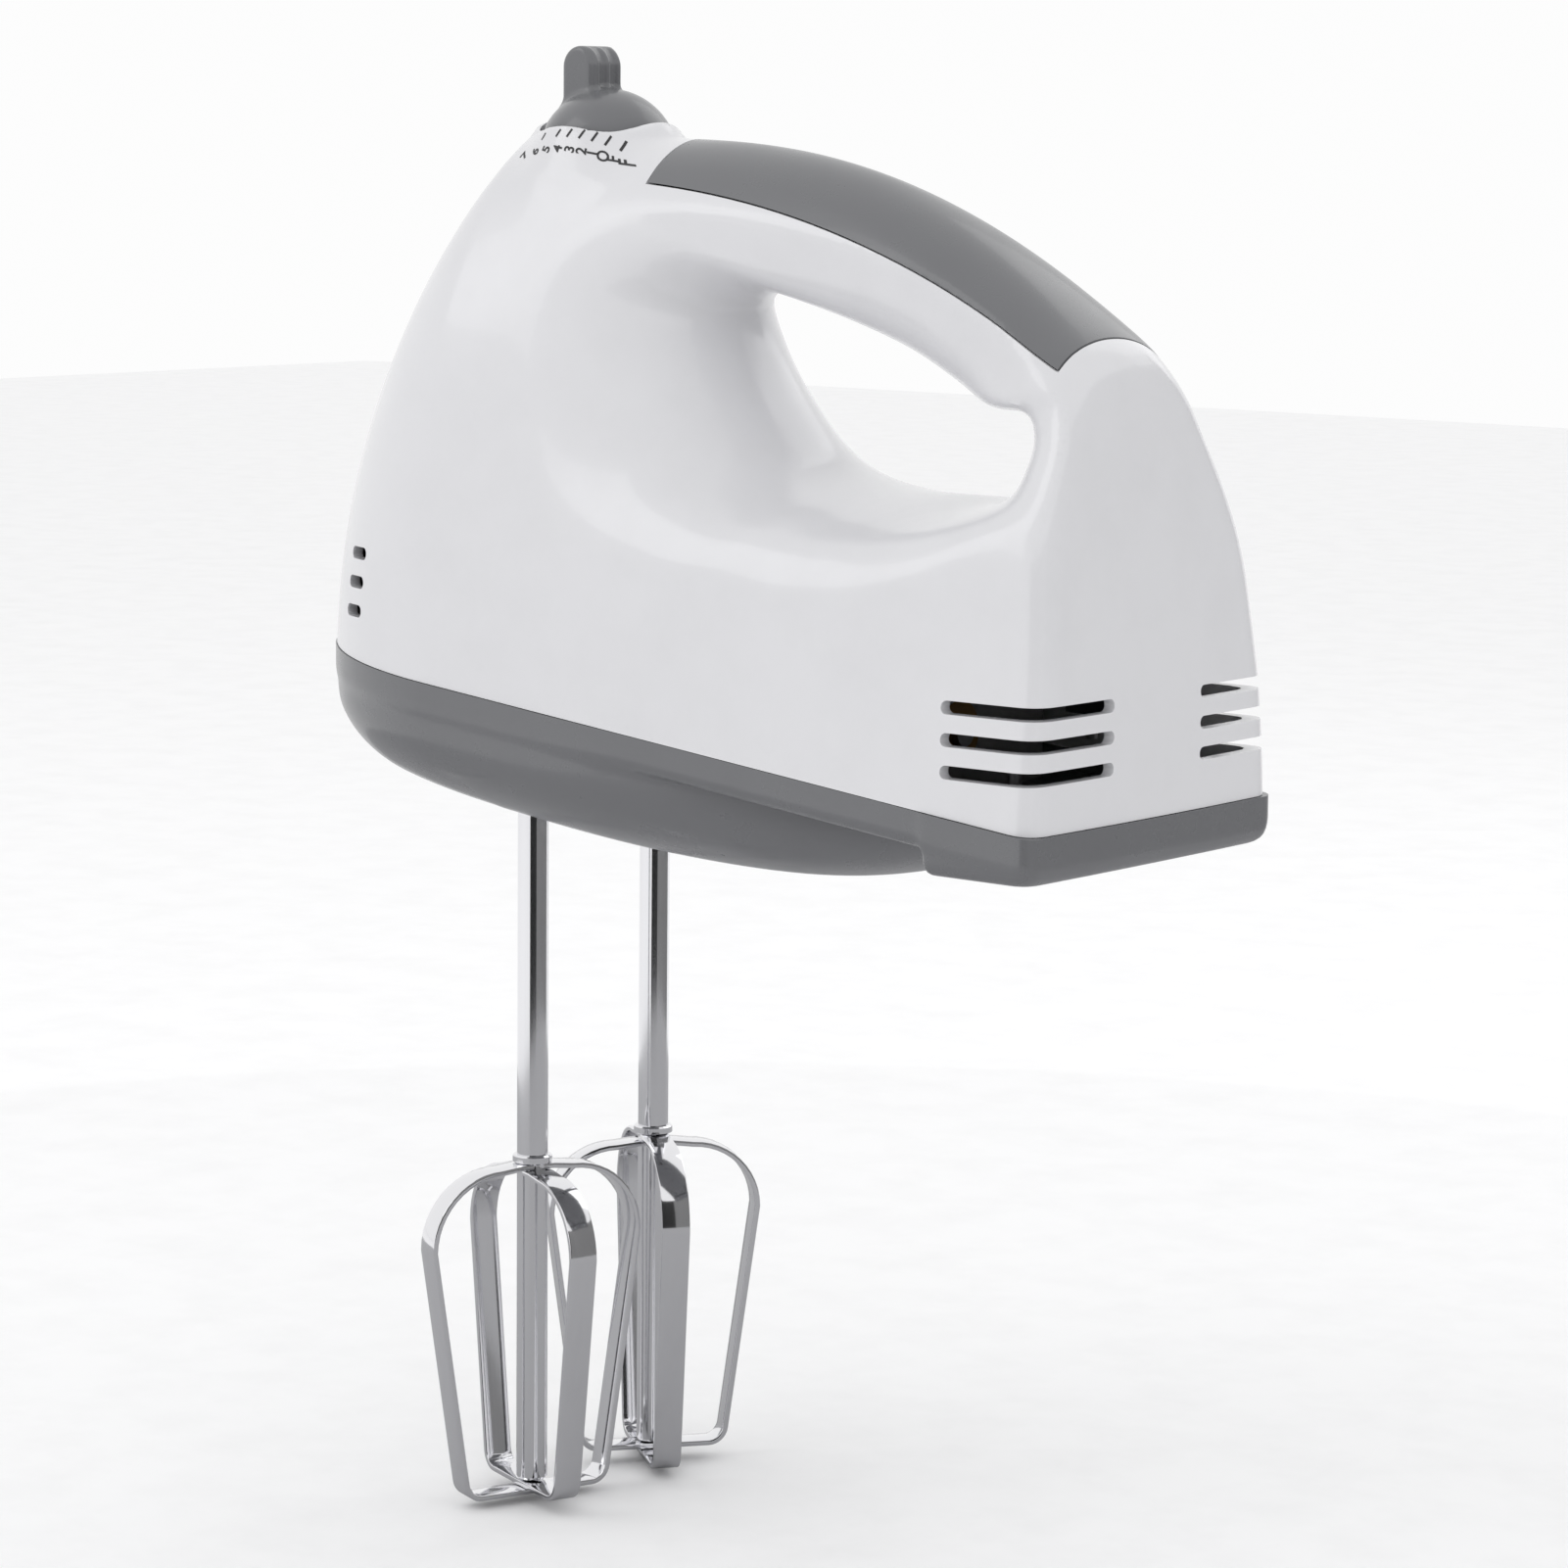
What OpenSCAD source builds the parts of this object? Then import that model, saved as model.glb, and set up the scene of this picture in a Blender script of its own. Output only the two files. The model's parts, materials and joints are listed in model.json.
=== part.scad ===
// Hand mixer with a closed handle, a thumb dial and two wire beaters.
// X runs from the nose (-X) to the heel (+X), Y across, Z up; Z = 0 is the beater tips.

/* [Body] */
// Length of the body from nose to heel
body_l = 194; // [175:1:235]
// Greatest width of the body
body_w = 76; // [66:1:92]
// Height from the heel foot to the crest of the handle
body_h = 127; // [118:1:153]
// Wall thickness of the moulded shells
wall = 2.2; // [1.6:0.1:3]
// Height of the seam above the foot at the heel
seam_h = 7.3; // [6.5:0.1:10]
// Slope of the seam down towards the heel, degrees
seam_tilt = 6; // [4:0.5:7]
// Depth of the belly below the foot
belly_drop = 8.5; // [6:0.5:12]

/* [Handle] */
// Width of the grip
grip_w = 31; // [28:1:38]
// Height of the grip from finger loop to crest
grip_h = 28; // [25:1:34]
// Drop of the handle crest from front to heel
handle_drop = 34; // [28:1:40]
// Depth of the grip cover's side walls
cover_side = 8.5; // [7:0.5:11]

/* [Beaters] */
// Centre distance of the two beaters
beater_gap = 36; // [34:0.5:43]
// Distance from the nose to the beater axes
beater_set = 61.5; // [56:0.5:74]
// Beater shaft diameter
shaft_d = 6; // [5:0.1:7.2]
// Outer diameter of the beater loops
loop_d = 45.6; // [38:0.2:50]
// Height of the beater loops
loop_h = 67; // [56:1:80]
// Bare shaft between the loops and the sockets
shaft_bare = 70.5; // [59:0.5:85]
// Width of the beater strips
strip_w = 5.6; // [4.7:0.1:6.7]
// Thickness of the beater strips
strip_t = 1.1; // [0.9:0.1:1.3]

/* [Dial] */
// Diameter of the speed dial
dial_d = 25; // [22:0.5:30]
// Height of the thumb fin above the dial's rim
fin_h = 17; // [14:0.5:20]
// Turn of the dial from off to the fastest setting, degrees
dial_turn = 120; // [90:5:140]
// Travel of the dial when it ejects the beaters
eject_travel = 4.5; // [3.8:0.1:5.4]

/* [Drive] */
// Teeth on each beater gear
gear_teeth = 26; // [22:1:31]
// Width of the beater gears
gear_b = 7; // [5.8:0.2:8.4]
// Diameter of the motor shaft
motor_shaft_d = 5; // [4:0.1:6]
// Diameter of the armature core
armature_d = 24; // [20:0.5:28]
// Length of the iron stack
stack_l = 22; // [18:1:26]
// Outer width of the stator iron
stator_w = 46; // [42:1:50]
// Outer height of the stator iron
stator_h = 40; // [38:1:46]
// Diameter of the cooling fan
fan_d = 40; // [33:1:46]

/* [Fits] */
// Radial running clearance of shafts in their bores
run_fit = 0.04; // [0.02:0.01:0.08]
// Gap between parts that pass each other freely
free_gap = 0.5; // [0.4:0.1:0.8]
// Hole diameter of the cord inlet bushing
cord_d = 6.4; // [5.4:0.1:7.6]

/* [Hidden] */
$fn = 48;

foot_z = loop_h + shaft_bare;
crest_z = foot_z + body_h;
heel = body_l / 2;
bx = -heel + beater_set;
by = beater_gap / 2;

// Body outline: nose curve, heel curve and handle crest
nose_lift = 22;
nose_rake = 47;
heel_lift = 27;
heel_rake = 8;
crest_x = bx + 22;
crest_run = heel - heel_rake - crest_x;
widest_x = bx - 10.5;
corner_r = 7;
heel_narrow = 0.13;

// Dial seat
dial_x = bx + 2.5;
dial_z = crest_z - 1.5;

// Drive train
worm_z = foot_z + 20;
gear_m = 2 * (by - 5) / gear_teeth;
gear_pr = by - 5;
worm_pr = 5;
thread_h = 0.85;
mesh_gap = 0.16;
worm_l = 20;
hub_r = 6.5;
hub_low = worm_z - 14;
frame_low_z = worm_z - 13;
frame_top_z = worm_z + 8;
plate_t = 3;
hub_top = frame_top_z + plate_t;
socket_drop = 0.5;
shaft_top = hub_top + eject_travel + 0.4;
yoke_t = 3;
yoke_gap = 0.6;
cup_h = 6;
rod_d = 6;
post_r = 3;
post_x = gear_pr + thread_h + post_r;
post_y = by + hub_r;
frame_w = 2 * (post_y + post_r + 0.2);
frame_l = 2 * (post_x + post_r + 0.2);

// Motor, measured back from the beater axes
coil_over = 6;
front_x = post_x + post_r + 1.7;
front_t = 4;
stack_x = front_x + front_t + coil_over + 0.5;
comm_x = stack_x + stack_l + coil_over + 3;
comm_l = 9;
comm_d = 16;
fan_x = comm_x + comm_l + 2.5;
fan_l = 7;
rear_x = fan_x + fan_l + 2;
bracket_t = 5;
motor_end = rear_x + bracket_t + 1.5;
bearing_d = 12;
air_gap = 0.6;

function clamp(v, lo, hi) = max(lo, min(hi, v));
function part_of(z, lo, hi) = clamp((z - lo) / (hi - lo), 0, 1);
function nose_x(z) = -heel + nose_rake * pow(part_of(z, foot_z + nose_lift, crest_z), 2.3);
function heel_x(z) = heel - heel_rake * pow(part_of(z, foot_z + heel_lift, crest_z - handle_drop), 1.6);
function crest_at(z) = crest_x + crest_run * pow(max(0, crest_z - z) / handle_drop, 0.54);
function back_x(z) = min(heel_x(z), crest_at(z));
function top_z(x) = crest_z - handle_drop * pow(max(0, x - crest_x) / crest_run, 1 / 0.54);
function half_w(z) = body_w / 2 * pow(1 - 0.985 * pow(part_of(z, foot_z + heel_lift, crest_z), 2.4), 0.52);
function narrow(z) = heel_narrow + 0.42 * part_of(z, foot_z + 50, foot_z + 92);
function seam_z(x) = foot_z + seam_h + (heel - x) * tan(seam_tilt);

// Plan outline of the body at height z, pulled in by inset
function side_y(x, z, xm, xr, w) = w * (1 - narrow(z) * pow(clamp((x - xm) / max(1, xr - xm), 0, 1), 2));
function near_side(z, inset) =
  let (xn = nose_x(z) + inset, xr = back_x(z) - inset, xm = clamp(widest_x, xn + 1, xr - 2),
    w = half_w(z) - inset, wr = side_y(xr, z, xm, xr, w),
    rc = min(wr * 0.9, (xr - xm) * 0.9, corner_r - inset * 0.6 + 8 * part_of(z, foot_z + 88, foot_z + 108)))
  concat(
    [for (a = [0:18:72]) [xm - (xm - xn) * cos(a), -w * sin(a)]],
    [for (s = [0:0.2:1]) let (x = xm + (xr - rc - xm) * s) [x, -side_y(x, z, xm, xr, w)]],
    [for (a = [22.5:22.5:90]) [xr - rc + rc * sin(a), -(side_y(xr - rc, z, xm, xr, w) - rc + rc * cos(a))]]);
function plan(z, inset) =
  let (n = near_side(z, inset))
  concat(n, [for (i = [len(n) - 1:-1:1]) [n[i][0], -n[i][1]]]);

// Closed skin through equal rings of points
module skin(rings) {
  n = len(rings[0]);
  m = len(rings);
  polyhedron(
    points = [for (r = rings) for (p = r) p],
    faces = concat(
      [[for (i = [0:n - 1]) i]],
      [for (k = [0:m - 2]) for (i = [0:n - 1])
        each [[k * n + i, (k + 1) * n + i, (k + 1) * n + (i + 1) % n],
          [k * n + i, (k + 1) * n + (i + 1) % n, k * n + (i + 1) % n]]],
      [[for (i = [n - 1:-1:0]) (m - 1) * n + i]]));
}

body_levels = [0, 0.2, 0.33, 0.45, 0.56, 0.66, 0.74, 0.81, 0.87, 0.92, 0.955, 0.98, 0.996];
tray_levels = [0, 0.14, 0.3];
module body_form(inset, levels = body_levels) {
  z0 = foot_z + inset;
  z1 = crest_z - inset;
  skin([for (t = levels) let (z = z0 + (z1 - z0) * t) [for (p = plan(z + inset * t, inset)) [p[0], p[1], z]]]);
}

// Everything below the seam plane, moved down by drop
module below_seam(drop) {
  translate([heel, 0, foot_z + seam_h - drop]) rotate([0, seam_tilt, 0])
    translate([-body_l * 1.5, -body_w, -body_h]) cube([body_l * 2, body_w * 2, body_h]);
}

// Finger loop: throat at the middle, flared to a wide rim on each side
loop_front = crest_x + 20;
loop_back = heel - 24;
loop_floor = foot_z + 64.5;
function loop_roof(x) = top_z(x) - grip_h;
function throat(g) = [
  [loop_front + 17 - g, loop_floor + 4 - g * 0.7], [loop_front + 30, loop_floor - g],
  [loop_back - 7, loop_floor - g], [loop_back + g, loop_floor + 7],
  [loop_back - 1 + g, loop_floor + 12 + g * 0.4], [loop_back - 8, loop_roof(loop_back - 8) + g],
  [loop_front + 24, loop_roof(loop_front + 24) + g], [loop_front + 3, loop_roof(loop_front + 3) + g],
  [loop_front - g, loop_roof(loop_front) - 3], [loop_front + 5 - g, loop_floor + 17]];
rim_front = loop_front - 28;
rim_back = heel + 6;
rim_floor = foot_z + 56;
function rim(g) = [
  [rim_front + 20 - g * 0.5, rim_floor + 1 - g], [rim_front + 46, rim_floor - 2 - g],
  [rim_back - 26, rim_floor - 2 - g], [rim_back - 12 + g, rim_floor + 4 - g * 0.5],
  [rim_back + g, rim_floor + 18], [rim_back - 4 + g, rim_floor + 40 + g],
  [rim_front + 32, crest_z - 10 + g], [rim_front + 14 - g * 0.5, crest_z - 20 + g],
  [rim_front + 2 - g, crest_z - 40], [rim_front - g, rim_floor + 26],
  [rim_front + 7 - g, rim_floor + 10 - g * 0.5]];
module slab_y(points, y, t) {
  translate([0, y + t / 2, 0]) rotate([90, 0, 0]) linear_extrude(t) polygon(points);
}
module finger_loop(grow) {
  for (s = [-1, 1]) {
    hull() {
      slab_y(throat(grow), s * 4, 8);
      slab_y(rim(grow), s * (body_w / 2 + 3), 2);
    }
    // trims the grip's sides above the loop
    hull() {
      slab_y([[loop_front + 4, loop_floor + 20], [loop_back - 2, loop_floor + 10],
        [loop_back + 6, loop_floor + 14], [loop_back + 9, crest_z + 5], [loop_front + 10, crest_z + 5]],
        s * (grip_w / 2 + 1 - grow), 2);
      slab_y([[loop_front - 24, loop_floor + 20], [loop_back + 2, loop_floor],
        [loop_back + 16, loop_floor + 14], [loop_back + 20, crest_z + 5], [loop_front - 8, crest_z + 5]],
        s * (body_w / 2 + 3), 2);
    }
  }
}

// Grip cover region: the top of the handle down to a line that follows the crest
cover_front = crest_x - 2;
cover_back = heel - heel_rake - 0.5;
cover_spots = [cover_front + 12, cover_back - 14];
shelf_drop = 14.5;
module cover_region(g) {
  pts = concat(
    [for (s = [0:0.125:1]) let (x = cover_front - g + (cover_back - cover_front + 2 * g) * s)
      [x, top_z(x) - cover_side - g - 1.5 * s]],
    [[cover_back + g + 2, crest_z + 9], [cover_front + 5 - g, crest_z + 9]]);
  slab_y(pts, 0, body_w);
}

slot_pitch = 5.6;
slot_h = 2.3;
slot_z = foot_z + 29;
boss_r = 4;
boss_x = bx - frame_l / 2 - boss_r - 1.5;
screw_spots = [[boss_x, -20], [boss_x, 20], [heel - 16, -21], [heel - 16, 21]];

module upper_housing() {
  color([0.9, 0.9, 0.92]) difference() {
    union() {
      difference() {
        body_form(0);
        difference() {
          body_form(wall);
          finger_loop(wall);
        }
      }
      intersection() {
        body_form(0.5);
        for (p = screw_spots) translate([p[0], p[1], seam_z(p[0]) - 1]) {
          cylinder(r = boss_r, h = 26);
          translate([-1, p[1] > 0 ? 0 : -body_w, 0]) cube([2, body_w, 26]);
        }
        // shelves for the cover screws and hangers for the switch
        for (x = cover_spots) translate([x - 5, -body_w / 2, top_z(x) - shelf_drop]) cube([10, body_w, 2]);
        for (s = [-1, 1]) translate([dial_x + s * (switch_w / 2 + 1) - 1, -5, switch_z - 3]) cube([2, 10, 30]);
      }
    }
    below_seam(0);
    finger_loop(0);
    cover_region(0.15);
    dial_hole();
    for (p = screw_spots) translate([p[0], p[1], foot_z]) cylinder(d = 2.6, h = 45);
    for (x = cover_spots) translate([x, 0, top_z(x) - shelf_drop - 1]) cylinder(d = 2.6, h = 4);
    for (k = [0:2]) translate([0, 0, slot_z - k * slot_pitch]) {
      for (s = [-1, 1]) translate([heel - 22, s > 0 ? 12 : -body_w / 2 - 2, 0])
        cube([30, body_w / 2 - 10, slot_h]);
      for (s = [-1, 1]) translate([-heel - 2, s * 9 - 3, 7]) cube([12, 6, slot_h - 0.4]);
    }
    cord_seat();
  }
}

module dial_hole() {
  translate([dial_x, 0, dial_z - 9]) cylinder(d = dial_d + 2 * free_gap, h = 30);
}

module handle_cover() {
  color([0.46, 0.46, 0.48]) difference() {
    intersection() {
      body_form(0);
      cover_region(0);
    }
    intersection() {
      body_form(wall);
      translate([0, 0, -3 * wall]) cover_region(-wall);
    }
    finger_loop(0);
  }
  color([0.46, 0.46, 0.48]) difference() {
    intersection() {
      body_form(0.5);
      for (x = cover_spots) translate([x, 0, top_z(x) - shelf_drop + 2]) cylinder(r = 3, h = shelf_drop);
    }
    for (x = cover_spots) translate([x, 0, top_z(x) - 20]) cylinder(d = 2.4, h = 16);
  }
}

// Boat-shaped belly: half-oval sections along X below the seam
belly_back = bx + 111;
function keel_z(x) = x < bx + 57
  ? foot_z - belly_drop + (belly_drop + 6) * pow(clamp((bx + 57 - x) / (bx + 57 + heel), 0, 1), 2.6) + 13 * pow(part_of(-x, heel - 12, heel), 2)
  : foot_z - belly_drop + (belly_drop + 5) * pow(part_of(x, bx + 57, belly_back), 1.9);
function belly_w(x) = x < bx
  ? (body_w / 2 - 0.6) * sqrt(max(0, 1 - pow(clamp((widest_x - x) / (widest_x + heel), 0, 1), 2)))
  : (body_w / 2 - 0.6) * (1 - 0.8 * pow(part_of(x, bx, belly_back + 3), 2.6));
function belly_section(x, inset) =
  let (w = max(0.8, belly_w(x) - inset), zt = seam_z(x) + 3, zl = seam_z(x) - 7, zk = min(zl - 0.5, keel_z(x) + inset))
  concat([[x, -w, zt]],
    [for (a = [0:22.5:180]) [x, -w * sign(cos(a)) * pow(abs(cos(a)), 0.8), zl - (zl - zk) * pow(sin(a), 0.85)]],
    [[x, w, zt]]);
module belly_form(inset) {
  x0 = -heel + 0.4 + inset;
  x1 = belly_back - inset;
  skin([for (s = [0, 0.012, 0.04, 0.1, 0.2, 0.33, 0.47, 0.6, 0.72, 0.82, 0.91, 0.97, 1])
    belly_section(x0 + (x1 - x0) * s, inset)]);
}
ledge_h = 6.4;
foot_front = heel - 24;
// Rim above the ledge, and the foot at the heel; over is how far it stands above the seam
module tray_form(inset, over) {
  intersection() {
    body_form(inset, tray_levels);
    below_seam(-over);
    union() {
      difference() {
        below_seam(-over - 1);
        below_seam(ledge_h - inset);
      }
      translate([foot_front + inset, -body_w, foot_z + inset]) cube([60, 2 * body_w, 30]);
    }
  }
}

socket_boss_r = 11.5;
module bottom_cover() {
  color([0.46, 0.46, 0.48]) difference() {
    union() {
      difference() {
        union() {
          intersection() {
            belly_form(0);
            below_seam(0);
          }
          tray_form(0, 0);
        }
        belly_form(wall);
        tray_form(wall, 5);
      }
      for (s = [-1, 1]) translate([bx, s * by, foot_z - socket_drop]) cylinder(r = socket_boss_r, h = 6);
      intersection() {
        belly_form(0.3);
        union() {
          for (x = [-1, 1], y = [-1, 1]) translate([bx + x * post_x, y * post_y, foot_z - 10])
            cylinder(r = 2.5, h = frame_low_z - foot_z + 10);
          cradle(front_x + 1, bracket_h);
          cradle(stack_x + 3, stator_h);
          cradle(stack_x + stack_l - 5, stator_h);
        }
      }
      translate([bx + rear_x + 1, -16, foot_z - 2]) cube([2, 32, worm_z - bracket_h / 2 - foot_z + 2]);
      for (s = [-1, 1]) translate([cord_x + s * 6, clamp_y, foot_z + 1]) cylinder(r = 2.8, h = clamp_z - foot_z - 1);
      for (p = screw_spots) intersection() {
        translate([p[0], p[1], foot_z - 10]) cylinder(r = boss_r, h = seam_z(p[0]) - 1.2 - foot_z + 10);
        union() {
          belly_form(0.3);
          tray_form(0.3, 0);
        }
      }
    }
    for (s = [-1, 1]) translate([bx, s * by, foot_z - 12]) cylinder(d = shaft_d + 2 * free_gap + 1, h = 30);
    for (s = [-1, 1]) translate([cord_x + s * 6, clamp_y, foot_z + 3]) cylinder(d = 2.4, h = clamp_z);
    for (p = screw_spots) {
      translate([p[0], p[1], foot_z - 12]) cylinder(d = 3.4, h = 60);
      translate([p[0], p[1], foot_z - 12]) cylinder(d = 6.4, h = 12 + screw_head_z(p) - foot_z);
    }
  }
}
// Rib that carries a motor piece of height h
module cradle(x, h) {
  translate([bx + x, -16, foot_z - 14]) cube([2, 32, worm_z - h / 2 - foot_z + 14]);
}
function screw_head_z(p) = p[0] > 0 ? foot_z + 2 : foot_z + 7;

module pan_screw(d, l, head_d, head_h) {
  cylinder(d = d, h = l);
  difference() {
    translate([0, 0, -head_h]) cylinder(d = head_d, h = head_h);
    for (a = [0, 90]) rotate([0, 0, a]) translate([-head_d / 3, -0.4, -head_h - 0.1]) cube([head_d / 1.5, 0.8, 1]);
  }
}
module housing_screws() {
  color("silver") for (p = screw_spots)
    translate([p[0], p[1], screw_head_z(p)]) pan_screw(2.6, seam_z(p[0]) + 9 - screw_head_z(p), 5.6, 2);
}
module cover_screws() {
  color("silver") for (x = cover_spots)
    translate([x, 0, top_z(x) - shelf_drop]) pan_screw(2.4, 10, 4.6, 1.6);
}

// Dial: domed cap with a thumb fin in front of its apex
dome_h = 8.5;
fin_l = 8;
fin_t = 9;
fin_x = -3.8;
module dial_dome(h, r) {
  sphere_r = (r * r + h * h) / (2 * h);
  intersection() {
    translate([0, 0, h - sphere_r]) sphere(r = sphere_r, $fn = 64);
    cylinder(r = r, h = h + 1);
  }
}
module fin_side() {
  translate([-fin_l / 2, 0]) square([fin_l, fin_h - fin_l / 2]);
  translate([0, fin_h - fin_l / 2]) circle(d = fin_l);
}
module speed_dial() {
  color([0.46, 0.46, 0.48]) translate([dial_x, 0, dial_z]) difference() {
    union() {
      dial_dome(dome_h, dial_d / 2);
      translate([0, 0, -5]) cylinder(d = dial_d, h = 5.01);
      translate([fin_x, fin_t / 2, 0]) rotate([90, 0, 0]) linear_extrude(fin_t) fin_side();
    }
    translate([0, 0, -6]) cylinder(d = dial_d - 2 * 2, h = 6.5);
    for (y = [-1.5, 1.5]) translate([fin_x + fin_l / 2, y - 0.5, 7]) cube([2, 1, fin_h]);
    translate([0, 0, -6]) cylinder(d = spindle_d, h = 10);
  }
}

spindle_d = 6;
spindle_l = 30;
module dial_spindle() {
  color("white") translate([dial_x, 0, dial_z + 4 - spindle_l]) difference() {
    union() {
      cylinder(d = spindle_d, h = spindle_l);
      translate([0, 0, spindle_l - 10]) cylinder(d = spindle_d + 5, h = 2);
    }
    translate([0, 0, 4]) rotate_extrude() translate([spindle_d / 2 - 0.8, 0]) square([2, 1]);
  }
}
module dial_clip() {
  color("silver") translate([dial_x, 0, dial_z + 8 - spindle_l]) difference() {
    cylinder(d = spindle_d + 4, h = 0.9);
    translate([0, 0, -1]) cylinder(d = spindle_d - 1.4, h = 3);
    translate([0, -1.8, -1]) cube([8, 3.6, 3]);
  }
}

// Rotary switch under the dial
switch_z = dial_z - 17;
switch_w = 26;
module switch_base() {
  color([0.25, 0.25, 0.27]) translate([dial_x, 0, switch_z - 3]) difference() {
    translate([-switch_w / 2, -switch_w / 2 + 3, 0]) cube([switch_w, switch_w - 6, 2]);
    translate([0, 0, -1]) cylinder(d = spindle_d + 2 * free_gap, h = 4);
  }
}
module switch_rotor() {
  color([0.75, 0.55, 0.3]) translate([dial_x, 0, switch_z + eject_travel + 1]) difference() {
    union() {
      cylinder(d = 12, h = 3);
      translate([0, -2, 0]) cube([8, 4, 3]);
    }
    translate([0, 0, -1]) cylinder(d = spindle_d, h = 5);
  }
}
module switch_contacts() {
  color("goldenrod") for (a = [80, 130, 180, 230]) translate([dial_x, 0, switch_z - 1]) rotate([0, 0, a]) {
    translate([8.4, -1.5, 0]) cube([1, 3, 0.8]);
    translate([8.9, -1.5, 0]) cube([0.5, 3, 4.2]);
  }
}

// Ejector: rod from the dial's spindle down to a yoke over both beater shafts
yoke_z = shaft_top + yoke_gap;
rod_top = dial_z + 4 - spindle_l - 0.2;
rod_low = yoke_z + yoke_t + cup_h;
module ejector_rod() {
  color("white") translate([dial_x, 0, rod_low]) difference() {
    cylinder(d = rod_d, h = rod_top - rod_low);
    translate([-0.8, -4, 6]) cube([1.6, 8, rod_top - rod_low - 16]);
  }
}
module ejector_yoke() {
  color("white") difference() {
    union() {
      translate([bx - 5, -by - 4, yoke_z]) cube([14, beater_gap + 8, yoke_t]);
      translate([dial_x, 0, yoke_z]) cylinder(r = 6, h = yoke_t + cup_h);
      for (s = [-1, 1]) translate([bx, s * by, yoke_z - 0.4]) cylinder(d = shaft_d - 1, h = 1);
    }
    translate([dial_x, 0, yoke_z - 1]) cylinder(r = 4.6, h = cup_h + 1);
  }
}
guide_low = frame_top_z + plate_t;
// Round wire wound on a helix about Z
module coil(r, wire, h, turns, sides) {
  step = 24;
  last = turns * 360 / step;
  skin([for (i = [0:last]) let (a = i * step, z = wire / 2 + (h - wire) * i / last)
    [for (b = [0:360 / sides:359]) let (q = r + wire / 2 * cos(b)) [q * cos(a), q * sin(a), z - wire / 2 * sin(b)]]]);
}
module ejector_spring() {
  color("silver") translate([dial_x, 0, guide_low + 0.05]) coil(3.6, 0.9, yoke_z + cup_h - guide_low - 0.1, 5, 8);
}

// Gear frame: lower plate, posts and a cap that hold the beater gears
module gear_frame() {
  color([0.8, 0.8, 0.78]) difference() {
    union() {
      translate([bx - frame_l / 2, -frame_w / 2, frame_low_z]) cube([frame_l, frame_w, plate_t]);
      for (x = [-1, 1], y = [-1, 1])
        translate([bx + x * post_x, y * post_y, frame_low_z])
          cylinder(r = post_r, h = frame_top_z - frame_low_z);
    }
    for (s = [-1, 1]) translate([bx, s * by, frame_low_z - 1]) cylinder(r = hub_r + run_fit, h = plate_t + 2);
    for (x = [-1, 1], y = [-1, 1])
      translate([bx + x * post_x, y * post_y, frame_top_z - 9]) cylinder(d = 2.2, h = 12);
  }
}
module gear_cap() {
  color([0.8, 0.8, 0.78]) difference() {
    union() {
      translate([bx - frame_l / 2, -frame_w / 2, frame_top_z]) cube([frame_l, frame_w, plate_t]);
    }
    for (s = [-1, 1]) translate([bx, s * by, frame_top_z - 1]) cylinder(r = hub_r + run_fit, h = plate_t + 2);
    for (x = [-1, 1], y = [-1, 1])
      translate([bx + x * post_x, y * post_y, frame_top_z - 1]) cylinder(d = 2.6, h = 9);
  }
}
module gear_cap_screws() {
  color("silver") for (x = [-1, 1], y = [-1, 1])
    translate([bx + x * post_x, y * post_y, frame_top_z + plate_t])
      rotate([180, 0, 0]) pan_screw(2.2, 10, 4.4, 1.6);
}

// Beater gear: wavy teeth that mesh with the worm, on a hub that grips the beater shaft
function wave(r, h, n, phase) = [for (i = [0:n * 8 - 1]) let (a = i * 360 / (n * 8))
  (r + h * cos(n * (a - phase))) * [cos(a), sin(a)]];
module beater_gear(s) {
  // a tooth gap faces each thread crest of the worm
  phase = s < 0 ? 90 + crest_shift(-90) : 270 + crest_shift(90);
  color([0.93, 0.9, 0.78]) translate([bx, s * by, 0]) difference() {
    union() {
      translate([0, 0, worm_z - gear_b / 2]) linear_extrude(gear_b)
        polygon(wave(gear_pr - mesh_gap, thread_h, gear_teeth, phase));
      translate([0, 0, hub_low]) cylinder(r = hub_r, h = hub_top - hub_low);
      translate([0, 0, worm_z - gear_b / 2 - 2]) cylinder(r = hub_r + 1.5, h = gear_b + 4);
    }
    translate([0, 0, hub_low - 1]) cylinder(d = shaft_d + 2 * run_fit, h = hub_top - hub_low + 2);
    translate([0, 0, hub_top - 3]) cylinder(r = hub_r - 1.5, h = 4);
  }
}
// Angle by which the gear turns so that its gap meets the thread crest on side a
function crest_shift(a) = let (p = PI * gear_m, h = p * a / 360 - worm_l / 2,
  d = h - p * floor(h / p)) (a > 0 ? 1 : -1) * d / gear_pr * 180 / PI + 180 / gear_teeth;
module left_gear() { beater_gear(-1); }
module right_gear() { beater_gear(1); }
module spring_clip(s) {
  color("silver") translate([bx, s * by, hub_top - 2.6]) difference() {
    cylinder(r = hub_r - 1.6, h = 1);
    translate([0, 0, -1]) cylinder(d = shaft_d + 0.2, h = 3);
    translate([0, -1, -1]) cube([8, 2, 3]);
  }
}
module left_spring_clip() { spring_clip(-1); }
module right_spring_clip() { spring_clip(1); }

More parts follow.
